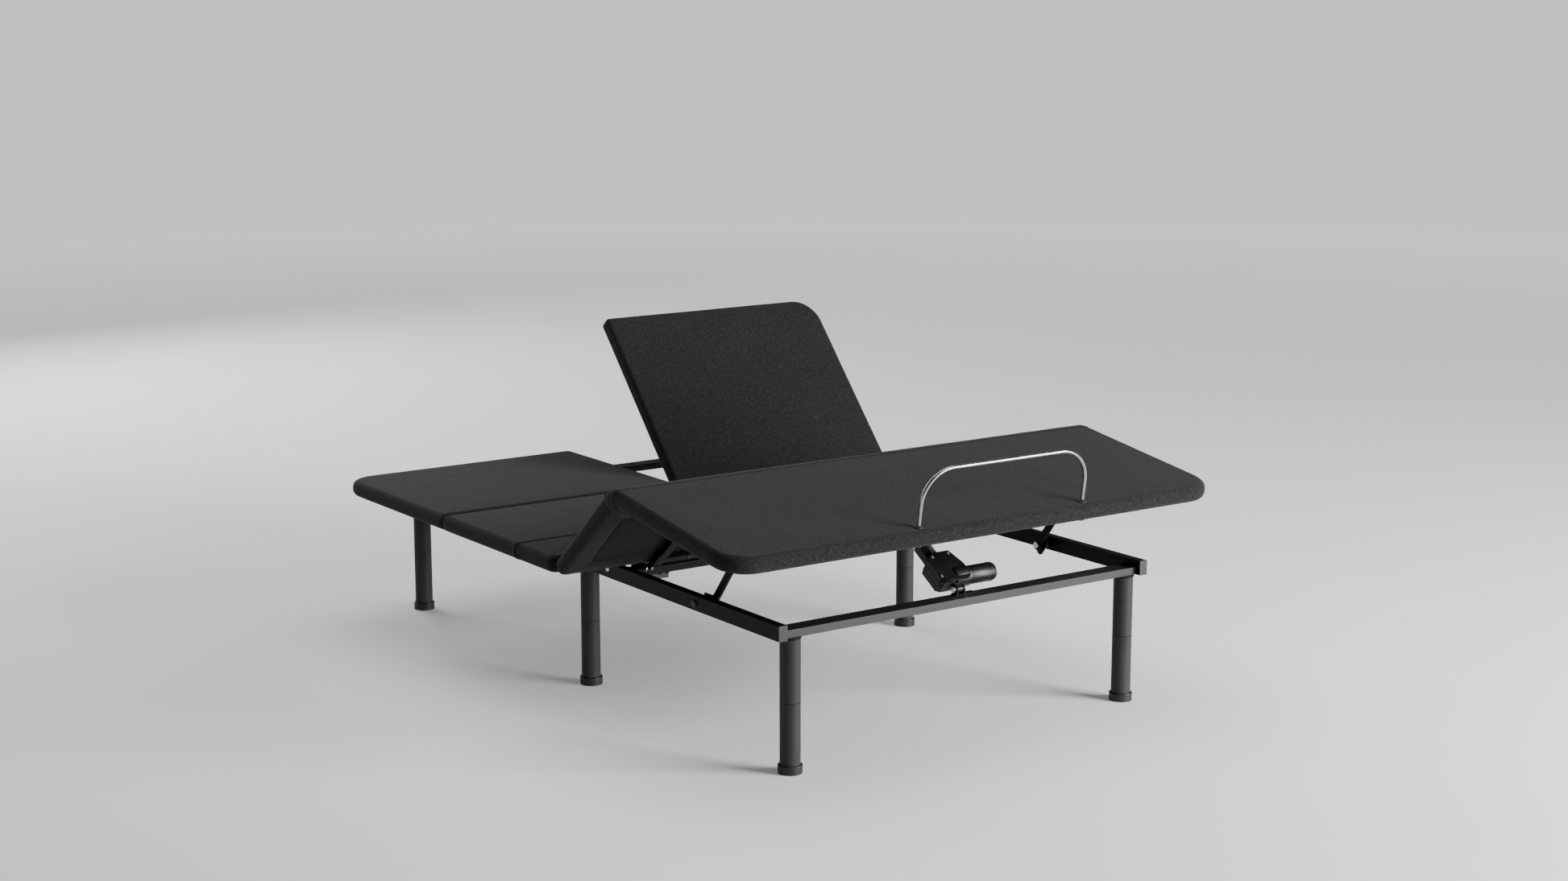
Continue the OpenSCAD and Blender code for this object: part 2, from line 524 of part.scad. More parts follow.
// ---- head actuators ----
module head_actuator(side) {
  color("#0e0e0f") base_pose() mirror([side < 0 ? 1 : 0, 0, 0]) difference() {
    union() {
      box(act_x - 30, act_x + 30, 938, 1036, act_z - 32, act_z + 32);
      cyl_x(act_x - 120, act_x - 29, 985, act_z, 24);
      translate([act_x, 1035, act_z]) rotate([-90, 0, 0]) cylinder(r = 17, h = 211);
      box(act_x - 8, act_x + 8, 920, 939, act_z - 10, act_z + 10);
      cyl_x(act_x - 8, act_x + 8, 920, act_z, 12);
    }
    cyl_x(act_x - 10, act_x + 10, 920, act_z, 6);
    translate([act_x, 1042, act_z]) rotate([-90, 0, 0]) cylinder(r = 11.06, h = 220);
  }
}
module head_actuator_left() { head_actuator(-1); }
module head_actuator_right() { head_actuator(1); }
module head_rod(side, y) {
  color("#d4d6d8") base_pose() translate([side * act_x, y, act_z]) union() {
    translate([0, -212, 0]) rotate([-90, 0, 0]) cylinder(r = 11, h = 203);
    cyl_x(-9, 9, 0, 0, 13);
    cyl_x(-22, 22, 0, 0, 6);
  }
}
module head_rod_left() { head_rod(-1, rod_y_left); }
module head_rod_right() { head_rod(1, rod_y_right); }

side_rail_left();
side_rail_right();
foot_cross_rail();
mid_cross_rail();
head_cross_rail();
thigh_hinge_rail();
head_hinge_rail();
rail_end_plugs();
leg_upper_tubes();
leg_lower_tubes();
leg_foot_caps();
seat_board();
seat_pad();
lumbar_board();
lumbar_pad();
thigh_hinge_brackets();
head_hinge_brackets();
link_rail_brackets();
leg_actuator_bracket();
head_actuator_brackets();
base_hinge_pins();
rail_bolts();
control_box();
power_supply();
thigh_board();
thigh_pad();
thigh_dust_cover();
thigh_side_tubes();
thigh_cross_tubes();
thigh_hinge_lugs();
knee_cover();
calf_board();
calf_pad();
calf_side_tubes();
calf_cross_tubes();
calf_hinge_lugs();
calf_hinge_pins();
calf_link_brackets();
calf_actuator_clevis();
retainer_bar();
retainer_sockets();
link_arm_left();
link_arm_right();
leg_actuator_gearbox();
leg_actuator_motor();
leg_actuator_guide();
leg_actuator_tube();
leg_actuator_rod();
head_left_board();
head_left_pad();
head_left_tubes();
head_left_lever();
head_right_board();
head_right_pad();
head_right_tubes();
head_right_lever();
head_actuator_left();
head_actuator_right();
head_rod_left();
head_rod_right();
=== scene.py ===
import json
import math

import bmesh
import bpy
import numpy as np
from mathutils import Matrix, Vector

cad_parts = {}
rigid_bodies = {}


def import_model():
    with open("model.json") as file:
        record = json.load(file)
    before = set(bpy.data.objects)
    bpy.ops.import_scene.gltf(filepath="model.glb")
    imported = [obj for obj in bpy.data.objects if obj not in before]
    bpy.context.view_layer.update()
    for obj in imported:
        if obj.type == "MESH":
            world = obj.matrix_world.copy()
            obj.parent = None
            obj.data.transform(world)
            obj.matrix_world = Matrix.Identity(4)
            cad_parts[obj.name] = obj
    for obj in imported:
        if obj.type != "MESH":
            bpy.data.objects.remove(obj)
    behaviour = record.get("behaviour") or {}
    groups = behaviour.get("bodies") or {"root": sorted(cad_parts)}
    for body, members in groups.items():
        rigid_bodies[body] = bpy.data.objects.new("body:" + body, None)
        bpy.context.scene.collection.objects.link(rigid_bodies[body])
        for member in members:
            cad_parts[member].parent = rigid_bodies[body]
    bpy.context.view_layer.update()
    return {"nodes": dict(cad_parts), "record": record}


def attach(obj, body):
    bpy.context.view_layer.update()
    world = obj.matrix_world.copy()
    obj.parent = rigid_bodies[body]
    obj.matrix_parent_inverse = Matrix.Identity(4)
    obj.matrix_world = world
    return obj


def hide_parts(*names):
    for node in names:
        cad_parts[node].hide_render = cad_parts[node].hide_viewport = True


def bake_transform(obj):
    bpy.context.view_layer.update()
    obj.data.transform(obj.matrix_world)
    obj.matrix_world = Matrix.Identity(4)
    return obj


for o in list(bpy.data.objects):
    bpy.data.objects.remove(o, do_unlink=True)

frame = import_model()
NODES = frame["nodes"]

# ------------------------------------------------------------ camera, floor, light
cam_data = bpy.data.cameras.new("camera")
cam_data.lens = 58.25
cam_data.sensor_width = 36
cam_data.clip_end = 500
cam = bpy.data.objects.new("camera", cam_data)
cam.location = (-3.8559, -5.63763, 1.9068)
cam.rotation_euler = (math.radians(79.198), 0, math.radians(-35.013))
bpy.context.scene.collection.objects.link(cam)
bpy.context.scene.camera = cam


def link(o):
    bpy.context.scene.collection.objects.link(o)
    return o


def area(name, loc, aim, size, energy, color=(1, 1, 1)):
    d = bpy.data.lights.new(name, "AREA")
    d.shape = "RECTANGLE"
    d.size, d.size_y = size
    d.energy = energy
    d.color = color
    o = link(bpy.data.objects.new(name, d))
    o.location = loc
    o.rotation_euler = (Vector(aim) - Vector(loc)).to_track_quat("-Z", "Y").to_euler()
    return o


area("key_front_right", (3.4, -5.4, 2.3), (0, -0.4, 0.4), (3.0, 2.4), 740, (1.0, 0.99, 0.975))
area("strip_front", (2.9, -5.2, 0.5), (0.1, -0.9, 0.35), (2.8, 0.7), 290)
area("top_soft", (0.4, 0.6, 4.6), (0, 0, 0.3), (4.0, 4.0), 110)
area("fill_left", (-3.6, 6.2, 2.4), (0, 0.6, 0.4), (2.6, 2.0), 14)
area("rim_back", (-0.6, 6.0, 2.6), (0, 0.6, 0.35), (4.0, 2.6), 210)

world = bpy.data.worlds.new("studio")
bpy.context.scene.world = world
world.use_nodes = True
wt = world.node_tree
wc = wt.nodes.new("ShaderNodeTexCoord")
ws = wt.nodes.new("ShaderNodeSeparateXYZ")
wr = wt.nodes.new("ShaderNodeMapRange")
wr.inputs[1].default_value, wr.inputs[2].default_value = 0.02, 0.16
wr.inputs[3].default_value, wr.inputs[4].default_value = 0.9, 0.10
wt.links.new(wc.outputs["Generated"], ws.inputs[0])
wt.links.new(ws.outputs[2], wr.inputs[0])
wt.nodes["Background"].inputs[0].default_value = (1.0, 1.0, 1.0, 1)
wt.links.new(wr.outputs[0], wt.nodes["Background"].inputs[1])


# ------------------------------------------------------------ material helper
class Mat:
    def __init__(self, name):
        self.m = bpy.data.materials.new(name)
        self.m.use_nodes = True
        self.nt = self.m.node_tree
        self.b = self.nt.nodes["Principled BSDF"]

    def n(self, kind, **kw):
        x = self.nt.nodes.new(kind)
        for k, v in kw.items():
            if hasattr(x, k):
                setattr(x, k, v)
            else:
                x.inputs[k].default_value = v
        return x

    def l(self, a, b):
        self.nt.links.new(a, b)

    def set(self, **kw):
        for k, v in kw.items():
            self.b.inputs[k.replace("_", " ")].default_value = v

    def obj(self):
        return self.n("ShaderNodeTexCoord").outputs["Object"]

    def attr(self, name):
        return self.n("ShaderNodeAttribute", attribute_name=name).outputs["Vector"]

    def scale(self, vec, s):
        x = self.n("ShaderNodeMapping")
        x.inputs["Scale"].default_value = s if hasattr(s, "__len__") else (s, s, s)
        self.l(vec, x.inputs["Vector"])
        return x.outputs[0]

    def noise(self, vec, scale, detail=3, rough=0.55, stretch=None):
        x = self.n("ShaderNodeTexNoise")
        x.inputs["Scale"].default_value = scale
        x.inputs["Detail"].default_value = detail
        x.inputs["Roughness"].default_value = rough
        self.l(self.scale(vec, stretch) if stretch else vec, x.inputs["Vector"])
        return x.outputs["Fac"]

    def voronoi(self, vec, scale, feature="F1", rnd=1.0):
        x = self.n("ShaderNodeTexVoronoi", feature=feature)
        x.inputs["Scale"].default_value = scale
        x.inputs["Randomness"].default_value = rnd
        self.l(vec, x.inputs["Vector"])
        return x.outputs["Distance"]

    def math(self, op, a, b=None, clamp=False):
        x = self.n("ShaderNodeMath", operation=op, use_clamp=clamp)
        for i, v in enumerate((a, b)):
            if v is None:
                continue
            if isinstance(v, (int, float)):
                x.inputs[i].default_value = v
            else:
                self.l(v, x.inputs[i])
        return x.outputs[0]

    def ramp(self, fac, *stops):
        x = self.n("ShaderNodeValToRGB")
        e = x.color_ramp.elements
        while len(e) < len(stops):
            e.new(0.5)
        for el, (p, c) in zip(e, stops):
            el.position = p
            el.color = (*c, 1) if len(c) == 3 else c
        self.l(fac, x.inputs[0])
        return x.outputs[0]

    def remap(self, v, a0, a1, b0, b1):
        x = self.n("ShaderNodeMapRange")
        for i, k in enumerate((a0, a1, b0, b1)):
            x.inputs[i + 1].default_value = k
        self.l(v, x.inputs[0])
        return x.outputs[0]

    def mix(self, fac, a, b):
        x = self.n("ShaderNodeMix", data_type="RGBA")
        for s, v in ((x.inputs[0], fac), (x.inputs[6], a), (x.inputs[7], b)):
            if isinstance(v, (int, float)):
                s.default_value = v
            elif isinstance(v, tuple):
                s.default_value = (*v, 1)
            else:
                self.l(v, s)
        return x.outputs[2]

    def color(self, c):
        self.l(c, self.b.inputs["Base Color"])

    def rough(self, v):
        self.l(v, self.b.inputs["Roughness"])

    def bump(self, *layers):
        prev = None
        for h, strength, dist in layers:
            x = self.n("ShaderNodeBump")
            x.inputs["Strength"].default_value = strength
            x.inputs["Distance"].default_value = dist
            self.l(h, x.inputs["Height"])
            if prev is not None:
                self.l(prev, x.inputs["Normal"])
            prev = x.outputs[0]
        self.l(prev, self.b.inputs["Normal"])


def grey(v):
    return (v, v, v * 1.02)


def fabric(name, base=0.0082, tint=(1.0, 1.0, 1.02)):
    """Charcoal heathered upholstery: crossing yarns, fuzz and slow shade changes."""
    m = Mat(name)
    v = m.attr("weave")
    sx = m.math("SINE", m.math("MULTIPLY", m.n_x(v), 2 * math.pi / 0.0021))
    sy = m.math("SINE", m.math("MULTIPLY", m.n_y(v), 2 * math.pi / 0.0021))
    weave = m.math("MULTIPLY", sx, sy)
    warp = m.noise(v, 1.0, 2, 0.6, (900, 110, 900))
    weft = m.noise(v, 1.0, 2, 0.6, (110, 900, 900))
    fleck = m.noise(v, 620, 3, 0.7)
    cloud = m.noise(v, 7.0, 3, 0.5)
    nap = m.noise(v, 60.0, 3, 0.6)
    yarn = m.math("ADD", m.math("MULTIPLY", warp, 0.5), m.math("MULTIPLY", weft, 0.5))
    blotch = m.noise(v, 230, 3, 0.65)
    mottle = m.noise(v, 85, 3, 0.6)
    t = m.math("ADD", m.math("MULTIPLY", yarn, 0.45), m.math("ADD", m.math("MULTIPLY", fleck, 0.15), m.math("ADD", m.math("MULTIPLY", blotch, 0.26), m.math("MULTIPLY", mottle, 0.14))))
    lo, mid, hi = (tuple(base * k * c for c in tint) for k in (0.3, 0.92, 2.9))
    col = m.ramp(t, (0.425, lo), (0.5, mid), (0.585, hi))
    shade = m.math("ADD", m.remap(cloud, 0.3, 0.7, 0.9, 1.06), m.remap(nap, 0.3, 0.7, -0.07, 0.07))
    x = m.n("ShaderNodeMix", data_type="RGBA", blend_type="MULTIPLY")
    x.inputs[0].default_value = 1.0
    m.l(col, x.inputs[6])
    comb = m.n("ShaderNodeCombineColor")
    for i in range(3):
        m.l(shade, comb.inputs[i])
    m.l(comb.outputs[0], x.inputs[7])
    m.color(x.outputs[2])
    m.rough(m.remap(fleck, 0.3, 0.7, 0.82, 0.98))
    m.set(Specular_IOR_Level=0.15, Sheen_Weight=0.04, Sheen_Roughness=0.5)
    m.b.inputs["Sheen Tint"].default_value = (0.9, 0.9, 0.92, 1)
    m.bump((nap, 0.10, 0.0012), (yarn, 0.45, 0.0006), (weave, 0.28, 0.00035), (fleck, 0.3, 0.0003))
    return m.m


def _sep(self, v, i):
    s = self.n("ShaderNodeSeparateXYZ")
    self.l(v, s.inputs[0])
    return s.outputs[i]


Mat.n_x = lambda self, v: _sep(self, v, 0)
Mat.n_y = lambda self, v: _sep(self, v, 1)
Mat.n_z = lambda self, v: _sep(self, v, 2)


def edge_mask(m, lo=0.515, hi=0.56):
    """1 along worn outside edges."""
    g = m.n("ShaderNodeNewGeometry")
    return m.remap(g.outputs["Pointiness"], lo, hi, 0.0, 1.0)


def powder(name, base=0.018, spec=0.42, rough=0.42, peel=1.0, painted_shade_grad=None):
    """Powder coat: orange peel, fine grit, slight dust and rubbed edges. The optional height gradient is painted shade:
    the base colour runs lighter at the bottom and darker at the top.
    """
    m = Mat(name)
    v = m.obj()
    peel_h = m.noise(v, 420, 2, 0.5)
    grit = m.noise(v, 2100, 2, 0.6)
    dust = m.noise(v, 11, 4, 0.6)
    c = m.ramp(dust, (0.35, grey(base * 0.86)), (0.65, grey(base * 1.14)))
    # painted shade: the base colour is blended by height, lighter at the bottom and darker at the top
    if painted_shade_grad:
        z = m.remap(m.n_z(v), painted_shade_grad[0], painted_shade_grad[1], 0.0, 1.0)
        c = m.mix(z, painted_shade_grad[2], painted_shade_grad[3])
        fine = m.ramp(dust, (0.35, (0.86, 0.86, 0.86)), (0.65, (1.1, 1.1, 1.1)))
        x = m.n("ShaderNodeMix", data_type="RGBA", blend_type="MULTIPLY")
        x.inputs[0].default_value = 1.0
        m.l(c, x.inputs[6])
        m.l(fine, x.inputs[7])
        c = x.outputs[2]
    c = m.mix(m.math("MULTIPLY", edge_mask(m), 0.35), c, grey(base * 2.6))
    m.color(c)
    m.rough(m.math("ADD", m.remap(dust, 0.3, 0.7, rough - 0.04, rough + 0.05), m.remap(grit, 0.3, 0.7, -0.03, 0.03)))
    m.set(Specular_IOR_Level=spec, Metallic=0.0)
    m.bump((peel_h, 0.16 * peel, 0.0005), (grit, 0.14, 0.00012))
    return m.m


def plastic(name, base=0.01, rough=0.3, spec=0.5, grain=1.0, tex=900, coat=0.0):
    m = Mat(name)
    v = m.obj()
    leather = m.voronoi(v, tex, "F1")
    fine = m.noise(v, tex * 2.2, 2, 0.6)
    smudge = m.noise(v, 24, 4, 0.6)
    m.color(m.ramp(smudge, (0.3, grey(base * 0.88)), (0.7, grey(base * 1.18))))
    m.rough(m.remap(smudge, 0.3, 0.7, rough - 0.05, rough + 0.06))
    m.set(Specular_IOR_Level=spec, Coat_Weight=coat, Coat_Roughness=0.12)
    m.bump((leather, 0.14 * grain, 0.00025), (fine, 0.12 * grain, 0.0001))
    return m.m


def metal(name, base=(0.62, 0.63, 0.64), rough=0.2, brush=(4, 900, 900), amount=0.1, bump=0.06):
    m = Mat(name)
    v = m.obj()
    lines = m.noise(v, 1.0, 3, 0.6, brush)
    spot = m.noise(v, 60, 4, 0.65)
    m.color(m.ramp(spot, (0.3, tuple(c * 0.9 for c in base)), (0.7, tuple(min(1, c * 1.06) for c in base))))
    m.rough(m.math("ADD", m.remap(lines, 0.3, 0.7, rough - amount / 2, rough + amount / 2), m.remap(spot, 0.35, 0.7, 0, 0.05)))
    m.set(Metallic=1.0)
    m.bump((lines, bump, 0.0001))
    return m.m


def wood(name):
    m = Mat(name)
    v = m.obj()
    w = m.noise(v, 2.0, 4, 0.6, (1.2, 10, 10))
    ring = m.math("SINE", m.math("MULTIPLY", m.math("ADD", w, m.math("MULTIPLY", m.n_y(v), 0.9)), 160))
    fibre = m.noise(v, 1.0, 3, 0.7, (30, 900, 900))
    t = m.math("ADD", m.remap(ring, -1, 1, 0.0, 0.5), m.math("MULTIPLY", fibre, 0.5))
    m.color(m.ramp(t, (0.15, (0.0028, 0.0028, 0.0028)), (0.55, (0.0055, 0.0052, 0.005)), (0.95, (0.012, 0.0105, 0.0095))))
    m.rough(m.remap(fibre, 0.3, 0.7, 0.55, 0.78))
    m.set(Specular_IOR_Level=0.07)
    m.bump((fibre, 0.3, 0.0004))
    return m.m


def nonwoven(name, base=0.012):
    """Spun-bonded dust cover: a grid of weld dots in a fibre mat."""
    m = Mat(name)
    v = m.obj()
    dots = m.voronoi(v, 420, "F1", 0.15)
    fibre = m.noise(v, 900, 4, 0.75)
    cloud = m.noise(v, 9, 4, 0.6)
    m.color(m.ramp(m.math("ADD", m.math("MULTIPLY", fibre, 0.6), m.math("MULTIPLY", cloud, 0.4)), (0.35, grey(base * 0.6)), (0.65, grey(base * 1.7))))
    m.rough(m.remap(fibre, 0.3, 0.7, 0.7, 0.95))
    m.set(Specular_IOR_Level=0.08, Sheen_Weight=0.03, Sheen_Roughness=0.5)
    m.bump((dots, 0.4, 0.0004), (fibre, 0.35, 0.0003))
    return m.m


FABRIC = fabric("deck_fabric_m")
FRAME = powder("frame_coat_m", base=0.003, spec=0.08, rough=0.42)
# painted light: a lighter, glossier copy of the frame coat for the foot cross rail's lit face; the real rail wears the
# same black coat as the side rails
FRAME_PAINTED_LIT = powder("frame_coat_painted_lit_m", base=0.010, spec=0.28, rough=0.44)
# the legs' height gradient is painted shade: one coat, painted darker towards the top
LEG = powder("leg_coat_painted_shade_m", base=0.018, spec=0.15, rough=0.5, painted_shade_grad=(0.03, 0.33, (0.0185, 0.0182, 0.0179), (0.0062, 0.0062, 0.0063)))
CAP = plastic("cap_plastic_m", base=0.013, rough=0.46, spec=0.3)
PLUG = plastic("plug_plastic_m", base=0.021, rough=0.5, spec=0.24)
CASE = plastic("case_plastic_m", base=0.012, rough=0.42)
GLOSS = plastic("actuator_plastic_m", base=0.0045, rough=0.4, spec=0.35, grain=0.5)
CHROME = metal("chrome_m", (0.30, 0.30, 0.305), 0.22, (900, 900, 6), 0.08, 0.04)
TUBE = metal("tube_steel_m", (0.82, 0.83, 0.84), 0.4, (900, 6, 900), 0.1, 0.05)
STEEL_DARK = metal("dark_steel_m", (0.05, 0.05, 0.052), 0.38, (200, 200, 200), 0.1, 0.08)
ZINC = metal("zinc_m", (0.56, 0.57, 0.58), 0.3, (160, 160, 160), 0.16, 0.1)
WOOD = wood("plywood_m")
DUST = nonwoven("dust_cover_m", base=0.005)
THREAD = plastic("thread_m", base=0.022, rough=0.8, spec=0.2, tex=2500)
RUBBER = plastic("rubber_m", base=0.011, rough=0.62, spec=0.3, tex=1400)
SLOT_MAT = dict(deck_fabric=FABRIC, plywood=WOOD, dust_cover=DUST, zinc_bolt=ZINC, chrome=CHROME, leg_coat=LEG, cap_plastic=CAP,
                plug_plastic=PLUG, case_plastic=CASE, actuator_plastic=GLOSS, frame_coat=FRAME)

# ------------------------------------------------------------ the folding geometry, in mm, flat
Y_MID, DECK_Z, PANEL_T, DECK_W, GAP, CORNER = 911.63, 372.7, 45.0, 1522.0, 8.0, 80.0
TOP = DECK_Z + PANEL_T
RAISE, SLOPE, HEAD_R = 41.5, 8.74, 48.8
T_AX, K_AX, H_AX = (673.0, 362.0), (332.0, 362.0), (1335.0, 395.2)
FOOT_Y = K_AX[0] - 515.6


def turn(ax, a):
    t = Matrix.Translation((0, ax[0], ax[1]))
    return t @ Matrix.Rotation(math.radians(a), 4, "X") @ t.inverted()


BASE = Matrix.Translation((0, -Y_MID, 0))
THIGH = BASE @ turn(T_AX, -RAISE)
CALF = THIGH @ turn(K_AX, RAISE + SLOPE)
HEADL = BASE
HEADR = BASE @ turn(H_AX, HEAD_R)
ACT_AX = (25.0, 368.0)
ACT = BASE @ Matrix.Translation((0, ACT_AX[0], ACT_AX[1])) @ Matrix.Rotation(math.radians(33.66003717), 4, "X")
LINK = BASE @ Matrix.Translation((0, 331.0, 352.0)) @ Matrix.Rotation(math.radians(-51.872464), 4, "X")


def place(pts, mat):
    """mm in the flat frame to metres at rest."""
    a = np.asarray(pts, float).reshape(-1, 3)
    m = np.array(mat)
    return (a @ m[:3, :3].T + m[:3, 3]) / 1000.0


def mesh_object(name, verts, faces, mat, body, weave=None, smooth=True):
    me = bpy.data.meshes.new(name)
    me.from_pydata([tuple(v) for v in verts], [], faces)
    me.materials.append(mat)
    if weave is not None:
        at = me.attributes.new("weave", "FLOAT_VECTOR", "POINT")
        at.data.foreach_set("vector", np.asarray(weave, np.float32).ravel())
    if smooth:
        me.polygons.foreach_set("use_smooth", [True] * len(me.polygons))
    me.update()
    o = link(bpy.data.objects.new(name, me))
    if body:
        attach(o, body)
    return o


def vnoise(p, seed=0):
    """Smooth value noise of 2-D points, about -1 to 1."""
    p = np.asarray(p, float)
    i = np.floor(p).astype(int)
    f = p - i
    f = f * f * (3 - 2 * f)

    def h(a, b):
        n = (a * 374761393 + b * 668265263 + seed * 974634777) & 0xFFFFFFFF
        n = ((n ^ (n >> 13)) * 1274126177) & 0xFFFFFFFF
        return ((n ^ (n >> 16)) & 0xFFFF) / 32767.5 - 1

    a, b = i[..., 0], i[..., 1]
    x0 = h(a, b) * (1 - f[..., 0]) + h(a + 1, b) * f[..., 0]
    x1 = h(a, b + 1) * (1 - f[..., 0]) + h(a + 1, b + 1) * f[..., 0]
    return x0 * (1 - f[..., 1]) + x1 * f[..., 1]


# ------------------------------------------------------------ upholstered panels
def outline(rect, radii, nx, ny, kc):
    """Points and outward normals round a rounded rectangle, with the same count at any inset, counter-clockwise from foot-left."""
    x0, y0, x1, y1 = rect
    corners = [(x0, y0, 1, 1, 225), (x1, y0, -1, 1, 315), (x1, y1, -1, -1, 45), (x0, y1, 1, -1, 135)]
    pts, nor = [], []
    for c in range(4):
        cx, cy, sx, sy, mid = corners[c]
        r = radii[c]
        ex, ey, tx, ty, mid2 = corners[(c + 1) % 4]
        r2 = radii[(c + 1) % 4]
        n = nx if c % 2 == 0 else ny
        cen = np.array([cx + sx * r, cy + sy * r])
        cen2 = np.array([ex + tx * r2, ey + ty * r2])
        a_side = mid + 45
        for i in range(n):
            if i <= kc:
                a = math.radians(mid + 45 * i / kc)
                d = np.array([math.cos(a), math.sin(a)])
                pts.append(cen + d * r)
            elif i >= n - kc:
                a = math.radians(a_side + 45 * (i - (n - kc)) / kc)
                d = np.array([math.cos(a), math.sin(a)])
                pts.append(cen2 + d * r2)
            else:
                a = math.radians(a_side)
                d = np.array([math.cos(a), math.sin(a)])
                f = (i - kc) / (n - 2 * kc)
                pts.append((cen + d * r) * (1 - f) + (cen2 + d * r2) * f)
            nor.append(d)
    return np.array(pts), np.array(nor)


def coons(loop, nx, ny):
    """A grid of (ny+1, nx+1) points inside a loop."""
    B = loop[0 : nx + 1]
    R = loop[nx : nx + ny + 1]
    T = loop[nx + ny : 2 * nx + ny + 1][::-1]
    L = np.vstack([loop[2 * nx + ny :], loop[:1]])[::-1]
    lb = np.linspace(0, 1, nx + 1)
    vb = np.linspace(0, 1, ny + 1)
    # follow the real spacing of the long sides
    lb = (B[:, 0] - B[0, 0]) / (B[-1, 0] - B[0, 0])
    vb = (L[:, 1] - L[0, 1]) / (L[-1, 1] - L[0, 1])
    u, v = lb[None, :, None], vb[:, None, None]
    g = (1 - v) * B[None] + v * T[None] + (1 - u) * L[:, None] + u * R[:, None]
    g -= (1 - u) * (1 - v) * B[0] + u * (1 - v) * B[-1] + (1 - u) * v * T[0] + u * v * T[-1]
    return g


def panel(name, node, body, mat4, x0, x1, y0, y1, radii, rx, ry, z0=0.0, crown=1.6, seed=1, border=(66, 62), side_seams=()):
    """A board upholstered in thin foam: bullnosed outer edges, tight seam edges, the cover turned under and stapled.
    rx = (left, right) and ry = (foot, head) edge radii in mm."""
    kc = 5
    nx = max(int((x1 - x0) / 16), 2 * kc + 6)
    ny = max(int((y1 - y0) / 16), 2 * kc + 4)
    N = 2 * (nx + ny)
    zb, zt = DECK_Z + z0, TOP
    base_pts, base_n = outline((x0, y0, x1, y1), radii, nx, ny, kc)
    nrm = base_n
    Rx = np.where(nrm[:, 0] < 0, rx[0], rx[1])
    Ry = np.where(nrm[:, 1] < 0, ry[0], ry[1])
    R = Rx * nrm[:, 0] ** 2 + Ry * nrm[:, 1] ** 2

    def ring(k):
        """k = share of the edge radius taken in plan."""
        rad = [max(r - 0.6 * k * min(a, b), min(r, 4.0)) for r, a, b in zip(radii, (rx[0], rx[1], rx[1], rx[0]), (ry[0], ry[0], ry[1], ry[1]))]
        p, _ = outline((x0 + rx[0] * k, y0 + ry[0] * k, x1 - rx[1] * k, y1 - ry[1] * k), rad, nx, ny, kc)
        return p

    def inset(d, rad_in=14.0):
        rad = [max(r - d, rad_in) for r in radii]
        p, _ = outline((x0 + d, y0 + min(d, border[1]), x1 - d, y1 - min(d, border[1])), rad, nx, ny, kc)
        return p

    verts, weave, outw = [], [], []
    s_arc = np.zeros(N)
    top_loop = ring(1.0)
    g = coons(top_loop, nx, ny)
    gy, gx = g.shape[:2]
    flat = g.reshape(-1, 2)
    dx = np.minimum(flat[:, 0] - (x0 + rx[0]), (x1 - rx[1]) - flat[:, 0]).clip(0)
    dy = np.minimum(flat[:, 1] - (y0 + ry[0]), (y1 - ry[1]) - flat[:, 1]).clip(0)
    fall = (1 - np.exp(-dx / 60)) * (1 - np.exp(-dy / 60))
    wav = 0.5 * vnoise(flat / 95.0, seed) + 0.28 * vnoise(flat / 38.0, seed + 7) + 0.12 * vnoise(flat / 17.0, seed + 9)
    z = zt + fall * crown + wav * (0.25 + 0.75 * fall) * 0.9 - 0.25
    # board edge telegraphs softly through the foam
    z -= 0.35 * np.exp(-((np.minimum(dx, dy) - 6) / 7) ** 2)
    for (px, py), zz in zip(flat, z):
        verts.append((px, py, zz))
        weave.append((px, py, 0))
    gi = lambda j, i: j * gx + i
    loop_idx = [gi(0, i) for i in range(nx)] + [gi(j, nx) for j in range(ny)] + [gi(ny, nx - i) for i in range(nx)] + [gi(ny - j, 0) for j in range(ny)]
    faces = []
    for j in range(gy - 1):
        for i in range(gx - 1):
            faces.append((gi(j, i), gi(j, i + 1), gi(j + 1, i + 1), gi(j + 1, i)))
    prev = loop_idx
    prev_pts = np.array([verts[i] for i in loop_idx])
    wcur = top_loop.copy()
    ang = np.unwrap(np.arctan2(nrm[:, 1], nrm[:, 0]))
    rings = []
    for t in (78, 64, 50, 36, 20, 6):
        rings.append((1 - math.cos(math.radians(t)), 1 - math.sin(math.radians(t)), "t"))
    H = zt - zb
    for f in (0.3, 0.55, 0.8):
        rings.append((0.0, f, "s"))
    for t in (6, 20, 36, 50, 64, 78, 90):
        rings.append((1 - math.cos(math.radians(t)), 1 - math.sin(math.radians(t)), "b"))
    corner = np.abs(nrm[:, 0] * nrm[:, 1]) * 2
    big = np.array([1.0 if (nx_ < 0) == (ny_ < 0) or True else 0 for nx_, ny_ in nrm])
    perim = np.concatenate([[0], np.cumsum(np.linalg.norm(np.diff(base_pts, axis=0), axis=1))])
    for k, q, kind in rings:
        p = ring(k)
        if kind == "t":
            zz = zt - R * q
            d = 0.15
        elif kind == "s":
            zz = (zt - R) * (1 - q) + (zb + R) * q
            d = 0.5
        else:
            zz = zb + R * q
            d = 0.85
        rad_r = np.maximum(R, 1)
        ripple = 0.55 * vnoise(np.stack([perim / 70.0, np.full(N, d * 2.3)], 1), seed + 3)
        # small pull folds that run from the underside up round the outer corners
        pleat = np.where(corner > 0.15, np.sin(ang * 26.0 + seed) * corner * d * d * 0.9, 0)
        pleat *= (R > 9)
